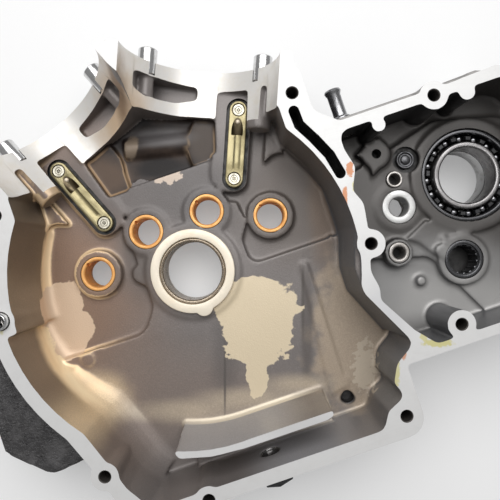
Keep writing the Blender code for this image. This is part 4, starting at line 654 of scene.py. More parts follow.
def spigot_wall():
    """Turned wall of the cylinder spigots, with dried oil where they meet."""
    colour, worn = (0.78, 0.76, 0.73), (0.72, 0.66, 0.55)
    finish, _ = handled("spigot wall", colour, worn, 0.4, 90, (0.34, 0.48), 0.4, 0.3)
    finish.stain_and_light_patches(
        ((0.62, 0.44, 0.27), (-0.0121, 0.1121), (0.0171, 0.029), 0.8, 60, 0.6, 0.85),
        ((0.23, 0.14, 0.08), (-0.0041, 0.1275), (0.0046, 0.0224), 0.8, 80, 0.6, 0.9),
        ((0.74, 0.68, 0.62), (-0.09, 0.094), (0.009, 0.0077), 0.8, 60, 0.6, 0.4),
    )
    return finish.material


def metal(name, colour, worn, roughness, metallic=1.0, scale=180):
    """Worked metal with a fine tooled surface."""
    ends = roughness * 0.8, roughness * 1.5
    finish, scuffs = handled(name, colour, worn, 0.6, scale, ends, roughness, metallic)
    finish.bump(scuffs["Height"], 0.00002, 0.3)
    return finish.material


CHAMBER_SKIN = chamber_skin()
GEARBOX_SKIN = gearbox_skin()
CHEST_SKIN = chest_skin()
OUTER_COAT = outer_coat()
MILLED = milled_face()
BORED = handled("bored wall", (0.62, 0.6, 0.58), (0.42, 0.38, 0.33), 0.6, 200, (0.2, 0.4), 0.28, 0.9)[0].material
SPIGOT = spigot_wall()
# Near-black finish of the oil slot, also laid as painted shade in the jet pockets, the cam bush seats and the wells
# and small holes cut with them.
OIL_WAY_AND_POCKET_SHADE = metal("oil way and painted pocket shade", (0.035, 0.033, 0.032), (0.02, 0.02, 0.02), 0.5, 0.2)
BRONZE = metal("bearing bronze", (0.9, 0.47, 0.16), (0.8, 0.37, 0.1), 0.42, 0.35)
STEEL = metal("ground steel", (0.7, 0.7, 0.7), (0.5, 0.49, 0.48), 0.2)
INSERT_STEEL = metal("insert steel", (0.95, 0.86, 0.71), (0.95, 0.8, 0.6), 0.4, 0.2, 40)
RACE_STEEL = metal("race steel", (0.42, 0.35, 0.27), (0.3, 0.24, 0.18), 0.26, 0.8)
RING_STEEL = metal("bearing ring steel", (0.1, 0.1, 0.105), (0.08, 0.08, 0.08), 0.24, 0.8, 40)
INNER_RING_STEEL = metal("inner ring steel", (0.3, 0.29, 0.29), (0.2, 0.19, 0.19), 0.3, 0.9, 40)
BUSH_STEEL = metal("pale bush steel", (0.56, 0.56, 0.55), (0.44, 0.43, 0.42), 0.42, 0.6, 60)
DRILLED = metal("drilled wall", (0.11, 0.1, 0.092), (0.05, 0.045, 0.04), 0.45, 0.6, 60)
SLEEVE_STEEL = metal("sleeve steel", (0.42, 0.4, 0.38), (0.3, 0.27, 0.24), 0.34, 0.8, 40)
BRASS = metal("plated brass", (0.33, 0.285, 0.16), (0.24, 0.2, 0.1), 0.36, 0.7, 60)
SCREW = metal("zinc plated screw", (0.56, 0.53, 0.44), (0.38, 0.35, 0.28), 0.36, 0.8)
SHADED_BRASS = metal("shaded brass", (0.16, 0.13, 0.08), (0.08, 0.06, 0.04), 0.35)
CAGE = metal("bearing cage", (0.03, 0.03, 0.032), (0.015, 0.015, 0.015), 0.4, 0.3)
NIPPLE_STEEL = metal("nipple steel", (0.34, 0.34, 0.35), (0.22, 0.22, 0.22), 0.32)
DARK_STEEL = metal("oiled dark steel", (0.1, 0.1, 0.105), (0.05, 0.05, 0.05), 0.34)
# The polished balls' dark colour is painted shade, so that only the lamp's glints show bright on them.
SHADED_BALL_STEEL = metal("polished balls darkened as painted shade", (0.2, 0.2, 0.21), (0.16, 0.16, 0.16), 0.07)
COPPER = metal("soft copper", (0.72, 0.38, 0.25), (0.5, 0.24, 0.15), 0.35)
RUBBER = handled("seal rubber", (0.018, 0.018, 0.018), (0.05, 0.05, 0.05), 0.5, 300, (0.4, 0.7), 0.5, 0.0)[0].material
SHADED_VALLEY_SKIN = shaded_valley_skin()


# The casting


def core_plugs(bm):
    """Fills every bore and hole, so that the skin is smoothed over solid metal and the holes are cut afterwards."""
    above = SPLIT_Z + SKIN_ALLOWANCE
    for row in (
        ((0.0321, 0.0535), 0.003, 0.032, 0.0364, 20),
        ((-0.0308, 0.0537), 0.003, 0.032, 0.0364, 20),
        *[(centre, BUSH_RADIUS + 0.002, 0.019, 0.037) for centre in CAMS],
        ((0, 0), 0.029, 0.0185, 0.0375, 64),
        (BEARING_AT, 0.0335, 0.011, 0.0512, 64),
        (NEEDLE_AT, 0.0145, 0.0275, 0.0522),
        (SHIFT_BUSH_AT, 0.0135, 0.033, 0.0495),
        (PIVOT_SLEEVE_AT, 0.007, 0.038, 0.0488),
        (PLUG_AT, 0.01, 0.038, 0.0488),
        (PAWL_BOSS_AT, 0.005, 0.039, 0.0518),
        (LOWER_SLEEVE_AT, 0.0082, 0.039, 0.0558),
        *[(centre, 0.007, 0.048, above, 24) for centre in BOLTS],
    ):
        cylinder(bm, *row)
    for start, end in zip(SLOT_PATH, SLOT_PATH[1:]):
        slot(bm, start, end, 0.0042, 0.045, above)
    for centre in CHEST_SCREWS:
        cylinder(bm, centre, 0.0045, -SKIN_ALLOWANCE, 0.0185, 20)
    for centre in FEET:
        cylinder(bm, centre, 0.0055, -SKIN_ALLOWANCE, 0.0205, 20)
    for height in MOUNT_HOLES:
        bar(bm, (MOUNT_FACE_X - SKIN_ALLOWANCE, height, 0.04), (MOUNT_FACE_X + 0.021, height, 0.04), 0.0075)
    x, z = DRAIN_AT
    bar(bm, (x, DRAIN_FACE_Y - SKIN_ALLOWANCE, z), (x, DRAIN_FACE_Y + 0.01, z), 0.01)
    x, z = NIPPLE_AT
    bar(bm, (x, 0.053, z), (x, NIPPLE_BASE_Y - 0.0005, z), 0.006)
    for side in (1, -1):
        slot(bm, *jet_ends(side), JET_HALF_WIDTH + 0.0032, 0.029, 0.0371)
        for offset, deep in ((-STUD_OFFSET, 0.13), (STUD_OFFSET, 0.116)):
            top = side_point(side, DECK_HEIGHT + SKIN_ALLOWANCE, offset, STUD_Z)
            bar(bm, side_point(side, deep, offset, STUD_Z), top, 0.0075)
        low, high = side_point(side, 0.112, -STUD_OFFSET, STUD_Z), side_point(side, 0.131, -STUD_OFFSET, STUD_Z)
        bar(bm, low, high, 0.0052)


def corner_section(radius, low, top, lean, back):
    """Metal between a wall and the floor: a cast radius, then a wall that leans back to its top."""
    section = [(-back, low - 0.003), (lean + radius, low - 0.003)]
    for step in range(7):
        turn = math.radians(15 * step)
        section.append((lean + radius * (1 - math.sin(turn)), low + radius * (1 - math.cos(turn))))
    return section + [(0, top), (-back, top)]


def swept_corner(bm, stations, top, back=0.004):
    """Sweeps a corner along a wall whose stations are (x, y, cast radius, lean, floor height).

    The room is on the left of the way, and the radius may grow from station to station.
    """
    loops = []
    for index, (x, y, radius, lean, low) in enumerate(stations):
        before, after = stations[max(index - 1, 0)], stations[min(index + 1, len(stations) - 1)]
        way = Vector((after[0] - before[0], after[1] - before[1], 0)).normalized()
        inward = Vector((-way.y, way.x, 0))
        section = corner_section(radius, low, top, lean, back)
        verts = [bm.verts.new(Vector((x, y, 0)) + inward * depth + Vector((0, 0, z))) for depth, z in section]
        loops.append([bm.edges.new((verts[i - 1], verts[i])) for i in range(len(verts))])
    for first, second in zip(loops, loops[1:]):
        bmesh.ops.bridge_loops(bm, edges=first + second)
    for loop in (loops[0], loops[-1]):
        bmesh.ops.contextual_create(bm, geom=loop)


def arc_stations(wall_radius, start, end, count, cast_radii, lean, low):
    """Stations along a wall that is round the crank axis, with a cast radius that changes evenly."""
    made = []
    for step in range(count + 1):
        share = step / count
        turn = math.radians(start + (end - start) * share)
        radius = cast_radii[0] + (cast_radii[1] - cast_radii[0]) * share
        made.append((wall_radius * math.cos(turn), wall_radius * math.sin(turn), radius, lean, low))
    return made


def cast_corners(bm):
    """Large cast radii at the foot of the chamber's walls."""
    floor, recess, flange = FLOOR_Z - 0.0004, 0.031, CHAMBER_RADIUS + 0.007
    swept_corner(bm, arc_stations(CHAMBER_RADIUS, 146, 180, 9, (0.0055, 0.0075), 0.0008, recess), 0.083)
    lower = arc_stations(flange, 181, 197, 5, (0.0075, 0.012), 0.0008, recess)
    lower += arc_stations(flange, 201, 219, 5, (0.014, 0.021), 0.0008, floor)
    lower += [
        (-0.085, -0.0815, 0.022, 0.0008, floor),
        (-0.0808, -0.0933, 0.022, 0.0008, floor),
        (-0.0744, -0.1117, 0.022, 0.0008, floor),
        (-0.064, -0.127, 0.018, 0.0008, floor),
    ]
    swept_corner(bm, lower, 0.083)
    foot = arc_stations(CHAMBER_RADIUS, 248, 270, 6, (0.0045, 0.0045), 0.0006, floor)
    foot.append((0.058, -CHAMBER_RADIUS, 0.0045, 0.0006, floor))
    swept_corner(bm, foot, 0.07, 0.002)
    right = [
        (0.115, -0.08, 0.004, 0.003, floor),
        (0.099, -0.046, 0.003, 0.002, floor),
        (0.099, -0.03, 0.003, 0.0015, floor),
        (0.1068, -0.006, 0.003, 0.002, recess),
        (0.1065, 0.01, 0.003, 0.0015, recess),
        (0.1047, 0.022, 0.003, 0.0, recess),
    ]
    swept_corner(bm, right, 0.083)


def box_relief(bm):
    """Low pads, steps and lobes on the gearbox chamber's floor."""
    plate(bm, PAWL_PAD, 0.044, 0.0524)
    plate(bm, NEEDLE_LAND, 0.044, 0.0512)
    slot(bm, (0.1628, -0.0401), (0.1703, -0.0477), 0.0042, 0.044, 0.0535)
    slot(bm, (0.1671, -0.0337), (0.1716, -0.0395), 0.0022, 0.044, 0.0525)


def pin_marks(bm):
    """Round marks of the mould's ejector pins on the chamber floor."""
    for centre, top in (((-0.0368, 0.0111), 0.0354), ((-0.0897, -0.035), 0.0368), ((0.0732, -0.1065), 0.0368)):
        cylinder(bm, centre, 0.0046, 0.03, top, 32)


def valley_relief(bm):
    """The rounded back of the breather passage that lies across the hollow, and two facets beside it."""
    bar(bm, (-0.0191, 0.097, 0.0245), (0.0252, 0.0871, 0.0245), 0.008, 40)
    for corners in (FRONT_FACET, REAR_FACET):
        plate(bm, corners, 0.025, 0.0312)


def rough_form():
    """Copy of the plain casting with the recess drawn further along the wall and the hollow sunk."""
    bm = bmesh.new()
    bm.from_mesh(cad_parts["crankcase_casting"].data)
    bmesh.ops.remove_doubles(bm, verts=bm.verts, dist=1e-5)
    bmesh.ops.translate(bm, verts=bm.verts, vec=-CRANK_AXIS)
    rough = scratch_object("rough_form", bm)
    reach = tool("recess_reach", (), (plate, RECESS_REACH, 0.031, 0.0375))
    cut(rough, [reach, tool("valley_well", (), (plate, VALLEY_WELL, 0.0275, 0.0375))])
    bm = bmesh.new()
    bm.from_mesh(rough.data)
    bpy.data.objects.remove(rough)
    return bm


def lift_milled_faces(bm):
    """Leaves metal on the faces that are milled later, and a little in the spigot bores."""
    near = 1e-4
    for vert in bm.verts:
        for side in (1, -1):
            up, out = side_point(side, 1, 0), side_point(side, 0, 1)
            across = vert.co.dot(out), vert.co.z - SPLIT_Z
            if vert.co.dot(up) > 0.1045 and abs(math.hypot(*across) - SPIGOT_RADIUS) < 0.0004:
                vert.co -= (out * across[0] + Vector((0, 0, across[1]))) * 0.037
        if vert.co.z > SPLIT_Z - near:
            vert.co.z += SKIN_ALLOWANCE
        elif vert.co.z < near:
            vert.co.z -= SKIN_ALLOWANCE
        if vert.co.x < MOUNT_FACE_X + near:
            vert.co.x -= SKIN_ALLOWANCE
        if vert.co.y < DRAIN_FACE_Y + near:
            vert.co.y -= SKIN_ALLOWANCE
        for side in (1, -1):
            up = side_point(side, 1, 0)
            if vert.co.dot(up) > DECK_HEIGHT - near:
                vert.co += up * SKIN_ALLOWANCE


def cast_skin():
    """The casting's own form, remeshed finely and smoothed so that its corners get their cast radii."""
    bm = rough_form()
    lift_milled_faces(bm)
    for add in (core_plugs, cast_corners, box_relief, valley_relief, pin_marks):
        add(bm)
    mesh = bpy.data.meshes.new("crankcase_skin")
    bm.to_mesh(mesh)
    bm.free()
    casting = new_object("crankcase_skin", mesh)
    remesh = casting.modifiers.new("remesh", "REMESH")
    remesh.mode = "VOXEL"
    remesh.voxel_size = 0.001
    smooth = casting.modifiers.new("smooth", "SMOOTH")
    smooth.factor = 0.5
    smooth.iterations = 10
    thin = casting.modifiers.new("thin", "DECIMATE")
    thin.ratio = 0.2
    apply_modifiers(casting)
    return casting


def inside(points, corners):
    """Which of the plan view points lie inside the outline."""
    result = np.zeros(len(points), dtype=bool)
    x, y = points[:, 0], points[:, 1]
    for (x0, y0), (x1, y1) in zip(corners, corners[1:] + corners[:1]):
        crosses = (y0 > y) != (y1 > y)
        slope = (x1 - x0) / (y1 - y0) if y1 != y0 else 0
        result ^= crosses & (x < x0 + slope * (y - y0))
    return result


# Outlines in the plan view: what the scene adds or sinks, then the rooms whose faces share a finish

RECESS_REACH = [
    (0.099, -0.0088), (0.1062, -0.0088), (0.1066, 0.01), (0.1045, 0.025), (0.0985, 0.04), (0.0868, 0.0615),
    (0.085, 0.06), (0.099, 0.025),
]
VALLEY_WELL = [
    (-0.048, 0.096), (-0.0394, 0.0674), (-0.0256, 0.0677), (-0.0214, 0.0733), (-0.0158, 0.0747), (-0.0083, 0.0707),
    (0.0201, 0.07), (0.0413, 0.0729), (0.048, 0.0945), (0.041, 0.0975), (0.0127, 0.108), (0.0, 0.113),
    (-0.0127, 0.108), (-0.041, 0.0975),
]
FRONT_FACET = [
    (-0.0552, 0.0959), (-0.0355, 0.1056), (-0.0266, 0.1011), (-0.0233, 0.091), (-0.0243, 0.0794), (-0.0241, 0.0689),
    (-0.0362, 0.0641), (-0.05, 0.0718),
]
REAR_FACET = [
    (0.0322, 0.0989), (0.0429, 0.1042), (0.0599, 0.1014), (0.0485, 0.068), (0.0231, 0.0678), (0.0223, 0.0785),
    (0.0246, 0.0896),
]
PAWL_PAD = [
    (0.1295, 0.0382), (0.135, 0.041), (0.1428, 0.0436), (0.1478, 0.045), (0.1503, 0.0411), (0.1517, 0.0352),
    (0.1494, 0.0284), (0.1433, 0.0251), (0.1346, 0.0208), (0.1359, 0.0246), (0.1347, 0.0288), (0.1331, 0.0332),
]
NEEDLE_LAND = [
    (0.1433, -0.0261), (0.16, -0.0179), (0.1648, -0.0218), (0.1707, -0.0315), (0.1638, -0.0338), (0.156, -0.0342),
]
CHAMBER_REGION = [
    (0.1185, -0.137), (-0.068, -0.134), (-0.0795, -0.116), (-0.0855, -0.095), (-0.0915, -0.074), (-0.101, -0.06),
    (-0.1097, -0.0399), (-0.1155, -0.015), (-0.116, 0.0005), (-0.1115, 0.004), (-0.108, 0.03), (-0.091, 0.066),
    (-0.091, 0.12), (0.0, 0.16), (0.091, 0.12), (0.091, 0.066), (0.102, 0.052), (0.111, 0.03), (0.112, 0.0),
    (0.111, -0.018), (0.103, -0.03), (0.1045, -0.046), (0.1245, -0.082), (0.1245, -0.09), (0.106, -0.098),
    (0.106, -0.12),
]
BOX_REGION = [
    (0.128, -0.092), (0.241, -0.092), (0.241, 0.054), (0.112, 0.054), (0.112, 0.03), (0.112, 0.0), (0.111, -0.018),
    (0.103, -0.03), (0.1045, -0.046), (0.1045, -0.055),
]
VALLEY_REGION = [(x * 1.01, y + (0.0006 if y > 0.085 else -0.0006)) for x, y in VALLEY_WELL]
ROOF_REGION = [(0.12, 0.0555), (0.245, 0.0555), (0.245, 0.07), (0.12, 0.07)]
CHEST_REGION = [
    (-0.045, -0.055), (0.045, -0.055), (0.0935, -0.016), (0.0935, 0.048), (0.042, 0.0705), (-0.042, 0.0705),
    (-0.0935, 0.048), (-0.0935, -0.016),
]


def sort_skins(casting):
    """Gives each face of the skin the finish of the room it faces."""
    mesh = casting.data
    mesh.materials.clear()
    for skin in (CHAMBER_SKIN, GEARBOX_SKIN, CHEST_SKIN, OUTER_COAT, SHADED_VALLEY_SKIN):
        mesh.materials.append(skin)
    chamber, gearbox, bare, coat, valley = range(5)
    centres = np.empty(len(mesh.polygons) * 3, dtype=np.float32)
    mesh.polygons.foreach_get("center", centres)
    centres = centres.reshape(-1, 3)
    z = centres[:, 2]
    chosen = np.full(len(centres), coat, dtype=np.int32)
    for region, low, high, skin in (
        (CHEST_REGION, -1, CHEST_CEILING_Z + 0.002, bare),
        (BOX_REGION, -1, BOX_SKIN_Z, bare),
        (BOX_REGION, BOX_SKIN_Z, 1, gearbox),
        (CHAMBER_REGION, CHEST_CEILING_Z + 0.0005, 1, chamber),
        (VALLEY_REGION, 0.0262, 0.035, valley),
        (ROOF_REGION, 0.06, 1, bare),
    ):
        chosen[inside(centres, region) & (z > low) & (z < high)] = skin
    mesh.polygons.foreach_set("material_index", chosen)


def facing_tools():
    """Blocks that mill the split face, the outer rim and the two decks flat."""
    x, z = DRAIN_AT
    tools = [
        tool(
            "split_facing",
            [MILLED],
            (block, (-0.2, -0.2, SPLIT_Z), (0.32, 0.2, SPLIT_Z + 0.03)),
            (block, (-0.2, -0.2, -0.03), (0.32, 0.2, 0)),
            (block, (MOUNT_FACE_X - 0.03, -0.12, 0.001), (MOUNT_FACE_X, 0.02, 0.07)),
            (bar, (x, DRAIN_FACE_Y - 0.02, z), (x, DRAIN_FACE_Y, z), 0.0135, 48),
        )
    ]
    for side in (1, -1):
        turn = Matrix.Rotation(-side * V_HALF_ANGLE, 4, "Z")
        deck = (block, (-0.2, DECK_HEIGHT, -0.02), (0.2, DECK_HEIGHT + 0.03, 0.12), turn)
        tools.append(tool("deck_facing", [MILLED], deck))
    return tools


def hole(bm, centre, radius, low, top, chamfer=0.0006):
    """Drilled hole with a chamfered mouth."""
    mouth, rise = radius + chamfer + 0.0004, top + 0.01
    profile = [(0, low), (radius, low), (radius, top - chamfer), (mouth, top + 0.0004), (mouth, rise), (0, rise)]
    turned(bm, profile, centre, 32)


def bore_tools():
    """Everything that is bored or drilled square to the split face, and the holes across."""
    tools = [
        tool(
            "bush_seats",
            [OIL_WAY_AND_POCKET_SHADE],
            *[(cylinder, centre, BUSH_RADIUS + SEAT_GAP, BELOW, 0.08, 64) for centre in CAMS],
            (cylinder, PLUG_AT, 0.0088, 0.046, POCKET_TOP, 48),
            (cylinder, PIVOT_SLEEVE_AT, 0.0057, 0.0385, POCKET_TOP, 32),
            (cylinder, LOWER_SLEEVE_AT, 0.0073, 0.0421, POCKET_TOP, 40),
            (cylinder, (0.0735, -0.1175), 0.004, 0.029, 0.05, 32),
            (cylinder, PAWL_BOSS_AT, 0.0032, 0.04, 0.06, 28),
            (cylinder, NEEDLE_AT, 0.0131, 0.033, POCKET_TOP, 48),
        ),
        tool(
            "bores",
            [BORED],
            (cylinder, (0, 0), 0.0265, 0.016, 0.08, 96),
            (cylinder, BEARING_AT, 0.0313, BEARING_LOW - SEAT_GAP, POCKET_TOP, 96),
            (cylinder, SHIFT_BUSH_AT, 0.0117, 0.035, POCKET_TOP, 48),
        ),
        tool(
            "deep_bores",
            [BORED],
            (cylinder, (0, 0), 0.032, INSERT_SEAT - 0.0004, 0.05, 96),
            (cylinder, BEARING_AT, 0.0275, BELOW, 0.05, 96),
            (cylinder, SHIFT_BUSH_AT, 0.0066, BELOW, 0.05, 32),
            (cylinder, PLUG_AT, 0.005, 0.0385, 0.05, 32),
            *[(hole, (0.258, height), 0.0055, BELOW, 0.074, 0.001) for height in (0.022, -0.066)],
        ),
        tool(
            "through_bores",
            [DRILLED],
            (cylinder, (0, 0), 0.0198, BELOW, 0.05, 96),
            *[(hole, centre, 0.0034, 0.05, SPLIT_Z) for centre in BOLTS],
        ),
        tool("dowel_seats", [BORED], *[(hole, centre, 0.0055, 0.0757, SPLIT_Z, 0.0004) for centre in CASE_DOWELS]),
    ]
    for index, (start, end) in enumerate(zip(SLOT_PATH, SLOT_PATH[1:])):
        tools.append(tool("oil_slot", [OIL_WAY_AND_POCKET_SHADE], (slot, start, end, 0.0033 + 0.00002 * index, 0.056, 0.09)))
    tools.append(tool("slot_end", [OIL_WAY_AND_POCKET_SHADE], (cylinder, SLOT_PATH[-1], 0.0028, 0.046, 0.09, 32)))
    left, (x, z), (nipple_x, nipple_z) = MOUNT_FACE_X, DRAIN_AT, NIPPLE_AT
    cross_holes = tool(
        "cross_holes",
        [BORED],
        *[(cylinder, centre, 0.0026, BELOW, 0.016, 24) for centre in CHEST_SCREWS],
        *[(cylinder, centre, 0.003, BELOW, 0.018, 24) for centre in FEET],
        *[(bar, (left - 0.01, height, 0.04), (left + 0.018, height, 0.04), 0.0045) for height in MOUNT_HOLES],
        (bar, (x, DRAIN_FACE_Y - 0.01, z), (x, DRAIN_FACE_Y + 0.012, z), 0.0068),
        (bar, (nipple_x, 0.048, nipple_z), (nipple_x, 0.064, nipple_z), 0.0039),
    )
    tools.append(cross_holes)
    for side in (1, -1):
        ends = jet_ends(side)
        tools.append(tool("jet_slot", [OIL_WAY_AND_POCKET_SHADE], (slot, *ends, JET_HALF_WIDTH + 0.0022, 0.0342, 0.046, 48)))
        screws = [(cylinder, place, 0.0027, 0.0298, 0.04, 24) for place in ends]
        tools.append(tool("jet_screw_holes", [BORED], *screws))
    return tools


def deck_tools():
    """Spigot bores, stud holes and their dowel seats, square to the decks."""
    tools = []
    for side in (1, -1):
        low, high = side_point(side, 0.1036, 0, SPLIT_Z), side_point(side, 0.16, 0, SPLIT_Z)
        tools.append(tool("spigot_bore", [SPIGOT], (bar, low, high, SPIGOT_RADIUS, 160)))
        studs, seats = [], []
        for offset, deep in ((-STUD_OFFSET, 0.13), (STUD_OFFSET, 0.117)):
            high = side_point(side, 0.15, offset, STUD_Z)
            studs.append((bar, side_point(side, deep, offset, STUD_Z), high, 0.0046))
            low = side_point(side, DECK_HEIGHT - 0.0083, offset, STUD_Z)
            seats.append((bar, low, high, DOWEL_RADIUS + SEAT_GAP))
        tools += [tool("stud_holes", [BORED], *studs), tool("dowel_seats", [BORED], *seats)]
    return tools


def make_casting():
    casting = cast_skin()
    sort_skins(casting)
    cut(casting, facing_tools() + deck_tools() + bore_tools())
    place_piece(casting, "crankcase", ["crankcase_casting"], 38)


# Bushes, bearings and fittings


def turned_piece(node_name, profile, centre, finish, body="crankcase", edge=0.0002):
    """Turned piece in place of the plain one of the same name."""
    bm = bmesh.new()
    turned(bm, profile, centre, 112)
    round_edges(bm, edge)
    piece(node_name + "_fine", bm, finish, body, [node_name])


def tube_profile(inner, outer, low, top, inner_chamfer, outer_chamfer):
    return [
        (inner, low + inner_chamfer), (inner + inner_chamfer, low),
        (outer - outer_chamfer, low), (outer, low + outer_chamfer),
        (outer, top - outer_chamfer), (outer - outer_chamfer, top),
        (inner + inner_chamfer, top), (inner, top - inner_chamfer),
    ]


def make_bushes():
    """Bronze cam bushes, each with an oil notch in its mouth."""
    turn = math.radians(118)
    reach = BUSH_BORE + 0.0002
    for index, (x, y) in enumerate(CAMS, 1):
        name = f"cam_bush_{index}"
        bm = bmesh.new()
        turned(bm, tube_profile(BUSH_BORE, BUSH_RADIUS, BUSH_LOW, BUSH_TOP, 0.0008, 0.0003), (x, y), 112)
        round_edges(bm, 0.00012)
        bush = scratch_object(name + "_fine", bm, [BRONZE])
        place = x + reach * math.cos(turn), y + reach * math.sin(turn)
        cut(bush, [tool("notch", [BRONZE], (cylinder, place, 0.0012, 0.031, 0.04, 20))])
        place_piece(bush, "crankcase", [name])


def make_insert():
    """Flanged insert whose flange is drawn out to a rounded tab at its foot, and the race pressed in it."""
    profile = [
        (0.0229, 0.0185), (0.0262, 0.0185), (0.0262, 0.038), (0.029, 0.038), (0.029, 0.0411), (0.0287, INSERT_TOP),
        (0.0233, INSERT_TOP), (0.0229, 0.0411),
    ]
    bm = bmesh.new()
    turned(bm, profile, (0, 0), 200)
    tab_at, tab_reach, tab_radius, flange = math.radians(-91), 0.026, 0.0062, 0.029
    for vert in bm.verts:
        aside = math.atan2(vert.co.y, vert.co.x) - tab_at
        if math.hypot(vert.co.x, vert.co.y) > 0.028 and abs(aside) < 0.4:
            under = tab_radius**2 - (tab_reach * math.sin(aside)) ** 2
            drawn = tab_reach * math.cos(aside) + math.sqrt(max(under, 0)) - flange
            if under > 0 and drawn > 0:
                vert.co.x += drawn * math.cos(tab_at + aside)
                vert.co.y += drawn * math.sin(tab_at + aside)
    round_edges(bm, 0.00015)
    piece("main_bearing_insert_fine", bm, INSERT_STEEL, "crankcase", ["main_bearing_insert"])
    profile = [
        (0.0202, 0.0163), (0.0226, 0.0163), (0.0226, 0.0407), (0.0219, 0.0414), (0.0213, 0.0414), (0.0211, 0.0411),
        (0.0208, 0.0411), (0.0202, 0.0404),
    ]
    turned_piece("main_bearing_race", profile, (0, 0), RACE_STEEL, edge=0.0001)


def make_jet(side, name):
    """Brass jet body: a round-ended bar with a scooped nozzle, a shallow channel and a fine groove."""
    foot, head = jet_ends(side)
    bm = bmesh.new()
    slot(bm, foot, head, JET_HALF_WIDTH, JET_LOW, JET_TOP, 64)
    round_edges(bm, 0.0005, 3, 60)
    body = scratch_object(name + "_oil_jet_fine", bm, [BRASS])

    def way(start, end, aside, low, high):
        offset = JET_OFFSET + aside
        return side_point(side, start, offset, JET_TOP + low), side_point(side, end, offset, JET_TOP + high)

    sink = [
        (0, 0.03), (0.0027, 0.03), (0.0027, 0.0363), (0.0045, 0.0363), (0.0045, 0.0383), (0.0049, 0.039), (0, 0.039),
    ]
    channel = way(JET_FOOT + 0.007, JET_FOOT + 0.033, 0.0008, 0.004, 0.004)
    tools = [
        tool("channel", [BRASS], (bar, *channel, 0.0047, 64)),
        tool("scoop", [SHADED_BRASS], (bar, *way(0.0955, 0.1079, 0, 0.0003, 0.0062), 0.004, 48, 0.006)),
        tool("groove", [SHADED_BRASS], (bar, *way(0.0737, 0.0984, 0.001, 0.0002, 0.0002), 0.0008, 16)),
        tool("countersinks", [SHADED_BRASS], *[(turned, sink, place[:2], 48) for place in (foot, head)]),
    ]
    cut(body, tools)
    place_piece(body, "crankcase", [name + "_oil_jet"])
    bm = bmesh.new()
    bmesh.ops.create_uvsphere(bm, u_segments=24, v_segments=14, radius=0.0015)
    bmesh.ops.translate(bm, verts=bm.verts, vec=side_point(side, 0.1052, JET_OFFSET, JET_TOP - 0.0008))
    piece(name + "_jet_ball", bm, INSERT_STEEL, "crankcase")
    make_jet_screw(f"{name}_jet_lower_screw", foot)
    make_jet_screw(f"{name}_jet_upper_screw", head)


def make_jet_screw(node_name, place):
    """Countersunk screw with a six-pointed socket."""
    top = 0.0385
    profile = [
        (0, 0.03), (0.0024, 0.03), (0.0024, 0.0367), (0.0041, 0.0367), (0.0041, top - 0.0003), (0.0038, top),
        (0.0026, top), (0.0021, top - 0.0004), (0, top - 0.0004),
    ]
    screw = tool(node_name + "_fine", [SCREW], (turned, profile, place[:2], 64))
    slots = []
    for lobe in range(3):
        turn = math.radians(60 * lobe + 15)
        reach = Vector((math.cos(turn), math.sin(turn))) * 0.0011
        low = top - 0.0016 + lobe * 0.00002
        slots.append((slot, place.xy - reach, place.xy + reach, 0.00042, low, top + 0.001, 12))
    socket = tool("socket", [SHADED_BRASS], *slots)
    cut(screw, [socket])
    place_piece(screw, "crankcase", [node_name])


def make_dowels():
    """Hollow dowels of the cylinder studs and of the split face."""
    for side, name in ((1, "rear"), (-1, "front")):
        for offset, which in ((-STUD_OFFSET, "inner"), (STUD_OFFSET, "outer")):
            node_name = f"{name}_deck_{which}_dowel"
            bm = bmesh.new()
            turned(bm, tube_profile(0.0046, DOWEL_RADIUS, 0.0, 0.018, 0.0004, 0.0008), (0, 0), 72)
            round_edges(bm, 0.00015)
            turn = Vector((0, 0, 1)).rotation_difference(side_point(side, 1, 0)).to_matrix().to_4x4()
            place = Matrix.Translation(side_point(side, 0.13, offset, STUD_Z))
            bmesh.ops.transform(bm, matrix=place @ turn, verts=bm.verts)
            piece(node_name + "_fine", bm, STEEL, "crankcase", [node_name])
    for node_name, centre in zip(("front_case_dowel", "gearbox_case_dowel"), CASE_DOWELS):
        turned_piece(node_name, tube_profile(0.0038, 0.0052, 0.076, 0.09, 0.0004, 0.0008), centre, STEEL)


def track_arc(track, groove, edge, middle):
    """Groove of the inner ring's ball track, from its low lip to its high lip."""
    lip_turn = math.asin(math.sqrt(groove**2 - (track - edge) ** 2) / groove)
    turns = [lip_turn * (step / 4 - 1) for step in range(9)]
    return [(track - groove * math.cos(turn), middle + groove * math.sin(turn)) for turn in turns]


